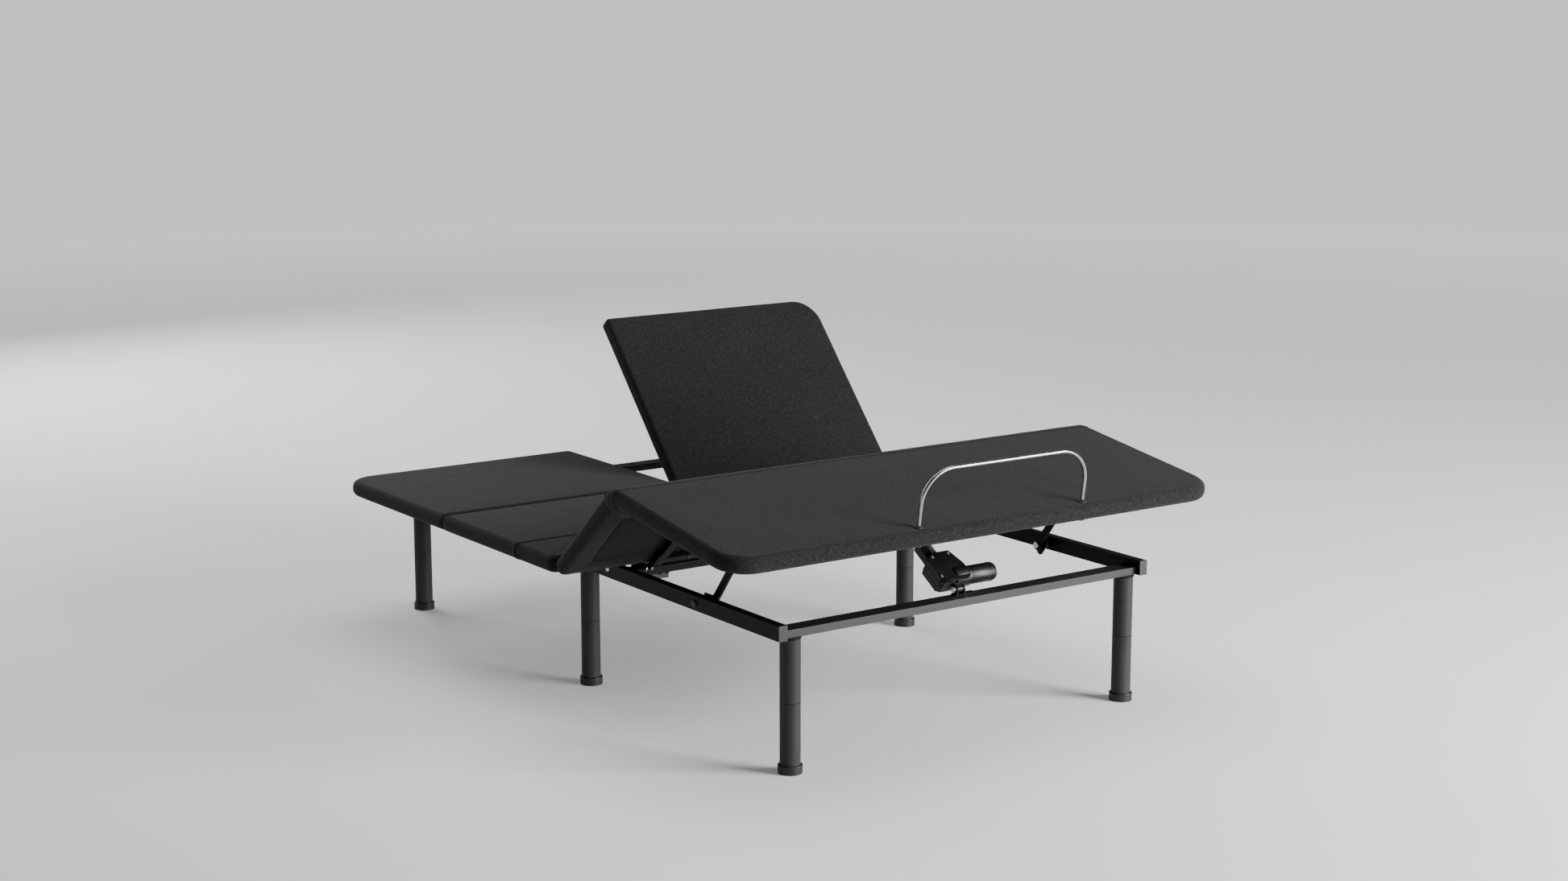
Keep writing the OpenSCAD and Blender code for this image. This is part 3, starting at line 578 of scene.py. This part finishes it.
        # slack of the cover between the staples on the long sides
        tug = 0.18 * np.sin(perim / 41.0 * 2 * math.pi) * d * d * (R > 9)
        seam = np.zeros(N)
        for side, at in side_seams:
            on = nrm[:, 0] < -0.9 if side < 0 else nrm[:, 0] > 0.9
            seam -= on * 1.0 * np.exp(-((base_pts[:, 1] - at) / 4.5) ** 2)
        push = (ripple * 0.5 * (R > 9) + pleat + tug - 0.45 + seam)
        xy = p + nrm * push[:, None]
        cur = np.column_stack([xy, zz])
        step = np.linalg.norm(cur - prev_pts, axis=1)
        wcur = wcur + nrm * step[:, None]
        idx = []
        for a, w in zip(cur, wcur):
            idx.append(len(verts))
            verts.append(tuple(a))
            weave.append((w[0], w[1], 0))
        for i in range(N):
            j = (i + 1) % N
            faces.append((prev[i], idx[i], idx[j], prev[j]))
        prev, prev_pts = idx, cur
    # underside: the turned-under border, then up to the board
    for d, zz, wobble in ((30, zb + 0.2, 0), (border[0] - 3, zb + 0.1, 1.6), (border[0], zb + 0.9, 1.6), (border[0] + 0.6, zb + 20.5, 1.6)):
        p = inset(d)
        p = p + nrm * (wobble * vnoise(np.stack([perim / 33.0, np.full(N, 5.5)], 1), seed + 5))[:, None]
        cur = np.column_stack([p, np.full(N, zz)])
        idx = []
        for a in cur:
            idx.append(len(verts))
            verts.append(tuple(a))
            weave.append((a[0], a[1], 0))
        for i in range(N):
            j = (i + 1) % N
            faces.append((prev[i], idx[i], idx[j], prev[j]))
        prev, prev_pts = idx, cur
    loop = np.array([verts[i][:2] for i in prev])
    gb = coons(loop, nx, ny)
    start = len(verts)
    grid_idx = -np.ones((ny + 1, nx + 1), int)
    for n_, (j, i) in enumerate([(0, i) for i in range(nx)] + [(j, nx) for j in range(ny)] + [(ny, nx - i) for i in range(nx)] + [(ny - j, 0) for j in range(ny)]):
        grid_idx[j, i] = prev[n_]
    for j in range(1, ny):
        for i in range(1, nx):
            grid_idx[j, i] = len(verts)
            verts.append((gb[j, i, 0], gb[j, i, 1], zb + 20.5))
            weave.append((gb[j, i, 0], gb[j, i, 1], 0))
    for j in range(ny):
        for i in range(nx):
            faces.append((grid_idx[j, i], grid_idx[j + 1, i], grid_idx[j + 1, i + 1], grid_idx[j, i + 1]))
    o = mesh_object(name, place(verts, mat4), faces, mat=FABRIC, body=body, weave=np.array(weave) / 1000.0)
    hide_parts(node)
    return o


HW = DECK_W / 2
SEAM_Y = FOOT_Y + 88
panel("calf_upholstery", "calf_pad", "calf", CALF, -HW, HW, FOOT_Y, 330.0, [CORNER, CORNER, 3, 3], (18, 18), (18, 5), seed=11, crown=1.8,
      side_seams=((-1, SEAM_Y), (1, SEAM_Y)))
panel("thigh_upholstery", "thigh_pad", "thigh", THIGH, -HW, HW, 334.0, 673.0, [3, 3, 16, 16], (18, 18), (5, 17), seed=21)
panel("seat_upholstery", "seat_pad", "base_frame", BASE, -HW, HW, 716.0, 903.0, [20, 20, 3, 3], (18, 18), (16, 6), z0=-0.5, seed=31)
panel("lumbar_upholstery", "lumbar_pad", "base_frame", BASE, -HW, HW, 907.0, 1308.8, [3, 3, 3, 3], (18, 18), (6, 12), z0=-0.5, seed=41)
panel("head_left_upholstery", "head_left_pad", "head_left", HEADL, -HW, -GAP / 2, 1312.5, 1925.0, [3, 3, 14, CORNER], (18, 12), (22, 16), seed=51)
panel("head_right_upholstery", "head_right_pad", "head_right", HEADR, GAP / 2, HW, 1312.5, 1925.0, [3, 3, CORNER, 14], (12, 18), (22, 16), seed=61)


# ------------------------------------------------------------ the cover over the knee ridge
def knee():
    total = RAISE + SLOPE
    mid = total / 2
    # sweep stations: angle from the thigh end (0) to the calf end (total); then a straight tail on each side
    st = [(-9.0, 0.0)] + [(0.0, 0.0)]
    angs = list(np.linspace(0, mid - 1.6, 12)[1:]) + [mid - 0.8, mid, mid + 0.8] + list(np.linspace(mid + 1.6, total, 12))
    st += [(0.0, a) for a in angs]
    st += [(9.0, total)]
    hw = HW - 0.35
    r_in, r_out, R = 12.5, TOP - K_AX[1] - 0.35, 18.0
    # cross-section in (x, r), counter-clockwise seen from the foot end, starting at the top middle
    n_top = 60
    sec = []
    xs = np.linspace(0, hw - R, n_top // 2 + 1)
    for x in xs:
        sec.append((x, r_out, 0))
    for a in (75, 60, 45, 30, 15, 0):
        c, s = math.cos(math.radians(a)), math.sin(math.radians(a))
        sec.append((hw - R + R * c, r_out - R + R * s, 1))
    for f in (0.35, 0.7):
        sec.append((hw, (r_out - R) * (1 - f) + (r_in + 9) * f, 1))
    for a in (0, 30, 60, 90):
        c, s = math.cos(math.radians(a)), math.sin(math.radians(a))
        sec.append((hw - 9 + 9 * c, r_in + 9 - 9 * s, 1))
    for x in np.linspace(hw - 9, 0, n_top // 2 + 1)[1:-1]:
        sec.append((x, r_in, 2))
    sec.append((0, r_in, 2))
    left = [(-x, r, k) for x, r, k in sec[::-1] if x > 1e-6]
    sec = sec + left
    M = len(sec)
    ctr = np.array([x for x, _, _ in sec])
    perim = [0.0]
    for i in range(1, M):
        perim.append(perim[-1] + math.hypot(sec[i][0] - sec[i - 1][0], sec[i][1] - sec[i - 1][1]))
    verts, weave, faces = [], [], []
    for si, (tail, a) in enumerate(st):
        is_mid = tail == 0 and abs(a - mid) < 0.1
        for mi, (x, r, kind) in enumerate(sec):
            dip = 0.0
            if is_mid:
                dip = 1.1
            elif abs(a - mid) < 2:
                dip = 0.25
            rr = r - (dip if kind != 2 else 0) - (0.12 if tail == 0 else 0)
            xx = x - math.copysign(dip, x) * (1 if kind == 1 else 0)
            if kind == 0:
                rr += 0.35 * vnoise(np.array([[x / 60.0, a / 9.0]]), 77)[0] - 0.2
            # angle from vertical in the thigh's own flat frame, towards the foot
            t = math.radians(a)
            y = -tail * math.cos(t) - rr * math.sin(t)
            z = -tail * math.sin(t) + rr * math.cos(t)
            verts.append((xx, K_AX[0] + y, K_AX[1] + z))
            weave.append((perim[mi] if kind else x, 332 - tail - r_out * (t - math.radians(mid)), 0))
    # weave: along x on the top, unrolled past the edge on the sides
    for si in range(len(st)):
        for mi, (x, r, kind) in enumerate(sec):
            if kind == 1:
                sgn = 1 if x > 0 else -1
                w = weave[si * M + mi]
                weave[si * M + mi] = (sgn * (hw + (r_out - r)), w[1], 0)
    for si in range(len(st) - 1):
        for mi in range(M):
            a, b = si * M + mi, si * M + (mi + 1) % M
            faces.append((a, b, b + M, a + M))
    faces.append(tuple(range(M))[::-1])
    e = (len(st) - 1) * M
    faces.append(tuple(e + i for i in range(M)))
    o = mesh_object("knee_upholstery", place(verts, THIGH), faces, FABRIC, None, weave=np.array(weave) / 1000.0)
    bm = bmesh.new()
    bm.from_mesh(o.data)
    bmesh.ops.recalc_face_normals(bm, faces=bm.faces)
    bm.to_mesh(o.data)
    bm.free()
    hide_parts("knee_cover")

    def at(a):
        t = math.radians(a)
        return place([(0, K_AX[0] - r_out * math.sin(t), K_AX[1] + r_out * math.cos(t))], THIGH)[0]

    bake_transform(o)
    return o


knee()


# ------------------------------------------------------------ small parts
def collect():
    return [[], []]


def add_tube(acc, path, r, n=6, closed_ends=True):
    """A round tube along a path of 3-D points (mm)."""
    V, F = acc
    path = np.asarray(path, float)
    base = len(V)
    up = None
    for i, p in enumerate(path):
        d = path[min(i + 1, len(path) - 1)] - path[max(i - 1, 0)]
        d = d / np.linalg.norm(d)
        if up is None:
            up = np.array([0, 0, 1.0]) if abs(d[2]) < 0.9 else np.array([0, 1.0, 0])
        a = np.cross(d, up)
        a /= np.linalg.norm(a)
        b = np.cross(a, d)
        up = b
        rr = r if np.isscalar(r) else r[i]
        for k in range(n):
            t = 2 * math.pi * k / n
            V.append(tuple(p + rr * (math.cos(t) * a + math.sin(t) * b)))
    for i in range(len(path) - 1):
        for k in range(n):
            a0, a1 = base + i * n + k, base + i * n + (k + 1) % n
            F.append((a0, a0 + n, a1 + n, a1))
    F.append(tuple(base + k for k in range(n)))
    e = base + (len(path) - 1) * n
    F.append(tuple(e + k for k in range(n))[::-1])


def add_lathe(acc, origin, axis, profile, n=32):
    """A turned form: profile of (radius, height) along axis."""
    V, F = acc
    axis = Vector(axis).normalized()
    q = Vector((0, 0, 1)).rotation_difference(axis).to_matrix()
    base = len(V)
    for r, h in profile:
        for k in range(n):
            t = 2 * math.pi * k / n
            p = q @ Vector((max(r, 0.01) * math.cos(t), max(r, 0.01) * math.sin(t), h))
            V.append(tuple(Vector(origin) + p))
    for i in range(len(profile) - 1):
        for k in range(n):
            a, b = base + i * n + k, base + i * n + (k + 1) % n
            F.append((a, b, b + n, a + n))
    e = base + (len(profile) - 1) * n
    if min(r for r, _ in profile) > 3:
        # a ring: close the section on itself instead of capping it
        for k in range(n):
            a, b = e + k, e + (k + 1) % n
            c, d = base + (k + 1) % n, base + k
            F.append((a, b, c, d))
        return
    F.append(tuple(base + k for k in range(n))[::-1])
    F.append(tuple(e + k for k in range(n)))


def add_box(acc, lo, hi, rot=None, about=None):
    V, F = acc
    base = len(V)
    for x in (lo[0], hi[0]):
        for y in (lo[1], hi[1]):
            for z in (lo[2], hi[2]):
                p = Vector((x, y, z))
                if rot is not None:
                    p = rot @ (p - Vector(about)) + Vector(about)
                V.append(tuple(p))
    for f in ((0, 1, 3, 2), (4, 6, 7, 5), (0, 4, 5, 1), (2, 3, 7, 6), (0, 2, 6, 4), (1, 5, 7, 3)):
        F.append(tuple(base + i for i in f))


def finish_acc(name, acc, mat4, mat, body, bevel=0.0, smooth=True):
    o = mesh_object(name, place(acc[0], mat4), acc[1], mat, body, smooth=smooth)
    bm = bmesh.new()
    bm.from_mesh(o.data)
    bmesh.ops.recalc_face_normals(bm, faces=bm.faces)
    bm.to_mesh(o.data)
    bm.free()
    if bevel:
        b = o.modifiers.new("bevel", "BEVEL")
        b.width = bevel / 1000
        b.segments = 2
        b.limit_method = "ANGLE"
        b.angle_limit = math.radians(40)
        b.harden_normals = True
    elif smooth:
        e = o.modifiers.new("edges", "EDGE_SPLIT")
        e.split_angle = math.radians(42)
    return o


# stitching beside the seam on the calf panel's two sides
def side_path(x_sign, y, z_from, z_to, R=18.0, off=0.35):
    """Points down the bullnosed side of a panel at y."""
    pts = []
    for z in np.arange(z_from, z_to - 0.01, -1.5):
        if z > TOP - R:
            dz = z - (TOP - R)
        elif z < DECK_Z + R:
            dz = z - (DECK_Z + R)
        else:
            dz = 0
        x = HW - R + math.sqrt(max(R * R - dz * dz, 0))
        pts.append((x_sign * (x + off - 0.45), y, z))
    return pts


acc = collect()
for s in (-1, 1):
    for dy in (-6.0, 6.0):
        p = side_path(s, SEAM_Y + dy, TOP - 2.5, DECK_Z + 3, off=0.25)
        i = 0
        while i + 3 < len(p):
            seg = p[i : i + 4]
            add_tube(acc, [seg[0], ((seg[1][0] + seg[2][0]) / 2 + s * 0.35, seg[1][1], (seg[1][2] + seg[2][2]) / 2), seg[3]], 0.5, 6)
            i += 4
finish_acc("calf_side_stitches", acc, CALF, THREAD, "calf")


# staples on the turned-under borders
def staples(name, body, mat4, x0, x1, y0, y1, z, inset=46, pitch=46):
    acc = collect()

    def one(x, y, along_x):
        w, t, h = 5.5, 0.55, 0.6
        if along_x:
            add_box(acc, (x - w, y - t, z - h), (x + w, y + t, z + 0.3))
        else:
            add_box(acc, (x - t, y - w, z - h), (x + t, y + w, z + 0.3))

    xs = np.arange(x0 + 70, x1 - 69, pitch)
    ys = np.arange(y0 + 70, y1 - 69, pitch)
    rng = np.random.default_rng(len(name))
    for x in xs:
        if 545 < abs(x) < 592:
            continue
        j = rng.uniform(-2.5, 2.5, 2)
        one(x + j[0], y0 + inset + j[1], True)
        one(x + j[1], y1 - inset + j[0], True)
    for y in ys:
        j = rng.uniform(-2.5, 2.5, 2)
        one(x0 + inset + j[0], y + j[1], False)
        one(x1 - inset + j[1], y + j[0], False)
    return finish_acc(name, acc, mat4, STEEL_DARK, body, smooth=False)


staples("calf_staples", "calf", CALF, -HW, HW, FOOT_Y, 330, DECK_Z + 0.1)
staples("thigh_staples", "thigh", THIGH, -HW, HW, 334, 673, DECK_Z + 0.1)
staples("seat_staples", "base_frame", BASE, -HW, HW, 716, 903, DECK_Z - 0.4)
staples("lumbar_staples", "base_frame", BASE, -HW, HW, 907, 1308.8, DECK_Z - 0.4)
staples("head_left_staples", "head_left", HEADL, -HW, -4, 1312.5, 1925, DECK_Z + 0.1)
staples("head_right_staples", "head_right", HEADR, 4, HW, 1312.5, 1925, DECK_Z + 0.1)


# bolts that hold the thigh and head panels to their tubes: pan heads with a round recess, seen from below
def pan_heads(name, body, mat4, pts, z, r=6.0):
    acc = collect()
    for x, y in pts:
        prof = [(r, 0.0), (r, -0.7), (r * 0.93, -1.6), (r * 0.72, -2.6), (r * 0.4, -3.1), (r * 0.22, -3.2), (r * 0.2, -2.0), (0.0, -2.0)]
        add_lathe(acc, (x, y, z), (0, 0, 1), prof[::-1], 20)
    return finish_acc(name, acc, mat4, STEEL_DARK, body)


SUB = DECK_Z - 17.7
pan_heads("thigh_panel_bolts", "thigh", THIGH, [(x, y) for x in (-400, -130, 130, 400) for y in (372.5, 632.5)], SUB)
calf_tube_y = sorted({round(v, 1) for v in (-60.0,)})
pan_heads("head_left_panel_bolts", "head_left", HEADL, [(x, y) for x in (-400, -120) for y in (1612.5, 1847.5)], SUB)
pan_heads("head_right_panel_bolts", "head_right", HEADR, [(x, y) for x in (400, 120) for y in (1612.5, 1847.5)], SUB)

# weld beads where each cross rail meets the side rails
def bead(acc, p0, p1, r=1.7, seed=0):
    p0, p1 = np.array(p0, float), np.array(p1, float)
    L = np.linalg.norm(p1 - p0)
    n = max(int(L / 1.1), 6)
    rng = np.random.default_rng(seed)
    ts = np.linspace(0, 1, n)
    rad = [r * (0.78 + 0.22 * abs(math.sin(i * 1.3)) + rng.uniform(-0.05, 0.05)) for i in range(n)]
    rad[0] = rad[-1] = r * 0.4
    add_tube(acc, [p0 + (p1 - p0) * t for t in ts], rad, 8)


RAIL_IN, RAIL_X, RZ0, RZ1 = 556.0, 581.0, 334.2, 372.2
CZ1 = RZ0 + 20
acc = collect()
sd = 1
for y0, d in ((-15, 50), (896.5, 50), (702, 40), (1236, 40), (1866.4, 50)):
    for s in (-1, 1):
        for yy in (y0 - 0.3, y0 + d + 0.3):
            bead(acc, (s * (RAIL_IN - 0.4), yy, RZ0 + 1.5), (s * (RAIL_IN - 0.4), yy, CZ1 - 1.5), 1.6, sd)
            sd += 1
        bead(acc, (s * (RAIL_IN - 0.4), y0 + 1.5, CZ1 + 0.3), (s * (RAIL_IN - 0.4), y0 + d - 1.5, CZ1 + 0.3), 1.6, sd)
        sd += 1
finish_acc("frame_weld_beads", acc, BASE, FRAME, "base_frame")

# leg details: a weld collar under the rail and a lip on the foot cap
acc_j, acc_w, acc_c = collect(), collect(), collect()
for x in (-527.5, 527.5):
    for y in (0, 921.5, 1891.4):
        add_lathe(acc_w, (x, y, RZ0), (0, 0, 1), [(24.6, -0.2), (27.0, -0.4), (27.3, -1.6), (26.4, -3.0), (25.45, -3.9)][::-1], 48)
        add_lathe(acc_c, (x, y, 0), (0, 0, 1), [(25.5, 19.6), (25.6, 20.6), (26.6, 21.3), (28.6, 21.3), (29.8, 20.7), (30.25, 19.6), (30.45, 17.8), (30.1, 16.2), (29.6, 16.0)][::-1], 56)
finish_acc("leg_weld_collars", acc_w, BASE, FRAME, "base_frame")
finish_acc("foot_cap_lips", acc_c, BASE, CAP, "base_frame")

# actuator: body screws, a seam round the case, the motor's end ring and its cable gland cap
acc_s, acc_g, acc_r = collect(), collect(), collect()
for x, y in ((-41, 33), (38, 33), (-29, 97), (24, 101)):
    for s in (1, -1):
        ax = (0, 0, s)
        add_lathe(acc_s, (x, y, s * 21.9), ax, [(4.3, 0), (4.3, 0.9), (3.9, 1.6), (2.6, 1.9), (1.5, 1.9), (1.4, 0.9), (0, 0.9)], 24)
for zz in (-7.5, 7.5):
    for run in ([(47, 66), (38, 88), (29.5, 109), (28, 110), (14, 110)], [(-38, 100), (-50, 86), (-50, 55), (-50, 24), (-38, 16.5), (-24, 16.5), (-12, 16.5)]):
        add_tube(acc_g, [(x, y, zz) for x, y in run], 0.7, 6)
add_lathe(acc_r, (47, 38, 0), (1, 0, 0), [(26.2, -2), (26.2, 1.4), (25.4, 2.2), (24.1, 2.4)], 48)
add_lathe(acc_r, (118, 38, 0), (1, 0, 0), [(24.1, -1.4), (24.7, -0.9), (24.7, 0.9), (24.1, 1.4)], 48)
add_lathe(acc_r, (88, 38, -23.5), (0, 0, -1), [(6.5, 0), (6.5, 3), (5.2, 4.2), (5.0, 7), (3.6, 8), (0.1, 8)], 24)
finish_acc("leg_actuator_screws", acc_s, ACT, ZINC, "leg_actuator")
finish_acc("leg_actuator_seams", acc_g, ACT, RUBBER, "leg_actuator")
finish_acc("leg_actuator_rings", acc_r, ACT, GLOSS, "leg_actuator")
acc = collect()
add_lathe(acc, (0, 157.2, 0), (0, 1, 0), [(8.05, -3), (10.9, -3), (10.9, -0.4), (10.2, 0.3), (8.35, 0.3)], 40)
finish_acc("leg_actuator_wiper", acc, ACT, RUBBER, "leg_actuator")

# head actuators: screws, ribs and the seal at the tube's mouth
ACT_Z = 283.2
acc_s, acc_r, acc_g = collect(), collect(), collect()
for side in (-1, 1):
    cx = side * 300
    for y in (946, 1028):
        for z in (ACT_Z - 25, ACT_Z + 25):
            for s in (-1, 1):
                add_lathe(acc_s, (cx + s * 29.9, y, z), (s, 0, 0), [(4.2, 0), (4.2, 0.9), (3.7, 1.6), (2.4, 1.8), (1.4, 1.8), (1.3, 0.9), (0, 0.9)], 20)
    mx = side * 300 - side * 120
    add_lathe(acc_r, (cx - side * 116, 985, ACT_Z), (side, 0, 0), [(23.6, -6), (24.5, -5.4), (24.5, 0), (24.1, 0.6)], 40)
    add_lathe(acc_r, (cx - side * 34, 985, ACT_Z), (side, 0, 0), [(24.1, -6), (26.6, -5), (26.6, 2), (26, 3.6)], 40)
    add_lathe(acc_g, (cx, 1246, ACT_Z), (0, 1, 0), [(11.1, -3), (13.6, -3), (13.6, 0.1), (13.2, 0.3), (11.5, 0.3)], 40)
    for k in range(7):
        y = 960 + k * 9
        add_box(acc_r, (cx - 24, y, ACT_Z - 32.9), (cx + 24, y + 3.4, ACT_Z - 31.6))
finish_acc("head_actuator_screws", acc_s, BASE, ZINC, "base_frame")
finish_acc("head_actuator_rings", acc_r, BASE, GLOSS, "base_frame")
finish_acc("head_actuator_seals", acc_g, BASE, RUBBER, "base_frame")

# control box: ribs, feet screws, contacts in the sockets
acc_r, acc_s, acc_c = collect(), collect(), collect()
for k in range(12):
    x = -71.5 + 13 * k
    add_box(acc_r, (x - 2.2, 975, 319.2), (x + 2.2, 1045, 320.4))
for x in (-70, -42, -14, 14, 42):
    for dx in (-4.5, -1.5, 1.5, 4.5):
        add_box(acc_c, (x + dx - 0.5, 1058.3, 338), (x + dx + 0.5, 1066, 341))
for x in (-106, 106):
    add_lathe(acc_s, (x, 1015, 355), (0, 0, -1), [(6, 0), (6, 1.2), (5.2, 2.4), (3.2, 3.0), (1.6, 3.0), (1.5, 1.6), (0, 1.6)], 24)
for x in (172, 258):
    add_lathe(acc_s, (x, 1032, 354), (0, 0, -1), [(5.4, 0), (5.4, 1.2), (4.8, 2.2), (3.0, 2.8), (1.6, 2.8), (1.5, 1.6), (0, 1.6)], 24)
for k in range(9):
    y = 982 + k * 12
    add_box(acc_r, (190, y - 1.8, 321.2), (240, y + 1.8, 322.4))
finish_acc("control_box_ribs", acc_r, BASE, CASE, "base_frame", bevel=0.3)
finish_acc("control_box_screws", acc_s, BASE, ZINC, "base_frame")
finish_acc("control_box_contacts", acc_c, BASE, CHROME, "base_frame", smooth=False)

# dark caps over the link pins' heads on the outside of the rails
acc = collect()
for s in (-1, 1):
    add_lathe(acc, (s * 581.0, 331.0, 352.0), (s, 0, 0), [(9.6, 0.0), (9.6, 1.6), (9.2, 3.4), (7.6, 4.6), (4.5, 5.2), (0.1, 5.3)], 32)
finish_acc("link_pin_caps", acc, BASE, CAP, "base_frame")

# retainer bar: the rubber collars it stands in
acc = collect()
BAR_Y = FOOT_Y + 25.6
for x in (-206, 311):
    add_lathe(acc, (x, BAR_Y, TOP + 2), (0, 0, 1), [(10.8, -0.2), (10.4, 0.9), (8.4, 1.7), (6.2, 2.4), (5.15, 4.2)], 40)
finish_acc("retainer_bar_collars", acc, CALF, RUBBER, "calf")

# ------------------------------------------------------------ CAD nodes: finish and softened edges
record = frame["record"]
node_slot = {}
for s in record.get("subparts", []):
    node_slot[s["node"]] = s.get("material") or s.get("slot")
SKIP_BEVEL = {"retainer_bar", "leg_foot_caps", "leg_upper_tubes", "leg_lower_tubes", "leg_actuator_tube", "leg_actuator_rod", "head_rod_left", "head_rod_right", "rail_bolts"}
for name, o in NODES.items():
    old = [s.material.name for s in o.material_slots if s.material]
    slot = None
    for m in old:
        if m in SLOT_MAT:
            slot = m
    if slot is None:
        slot = node_slot.get(name)
    mat = SLOT_MAT.get(slot, FRAME)
    if slot == "chrome" and name != "retainer_bar":
        mat = TUBE
    # painted light: the foot cross rail gets the lighter copy of the frame coat
    if name == "foot_cross_rail":
        mat = FRAME_PAINTED_LIT
    for s in o.material_slots:
        s.material = mat
    if not o.material_slots:
        o.data.materials.append(mat)
    if name in SKIP_BEVEL or name.endswith("_pad") or name == "knee_cover":
        continue
    w = o.modifiers.new("weld", "WELD")
    w.merge_threshold = 0.00002
    b = o.modifiers.new("bevel", "BEVEL")
    b.width = {"plywood": 0.0006, "dust_cover": 0.0003}.get(slot, 0.0008)
    if name in ("control_box", "power_supply", "head_actuator_left", "head_actuator_right", "leg_actuator_gearbox"):
        b.width = 0.0016
    b.segments = 2
    b.limit_method = "ANGLE"
    b.angle_limit = math.radians(38)
    b.harden_normals = True
    b.use_clamp_overlap = True

# ------------------------------------------------------------ floor
fm = Mat("floor_m")
fv = fm.obj()
fn = fm.noise(fv, 1.4, 3, 0.5)
fm.color(fm.ramp(fn, (0.3, (0.86, 0.86, 0.865)), (0.7, (0.88, 0.88, 0.885))))
fm.set(Roughness=0.85, Specular_IOR_Level=0.1, Emission_Strength=1.0)
fd = fm.n("ShaderNodeVectorMath", operation="LENGTH")
fm.l(fv, fd.inputs[0])
fe = fm.remap(fd.outputs["Value"], 2.2, 11.0, 0.12, 0.78)
fcol = fm.n("ShaderNodeCombineColor")
for i in range(3):
    fm.l(fe, fcol.inputs[i])
fm.l(fcol.outputs[0], fm.b.inputs["Emission Color"])
me = bpy.data.meshes.new("floor")
S = 220.0
me.from_pydata([(-S, -S, 0), (S, -S, 0), (S, S, 0), (-S, S, 0)], [], [(0, 1, 2, 3)])
me.materials.append(fm.m)
floor = link(bpy.data.objects.new("floor", me))

bpy.context.view_layer.update()
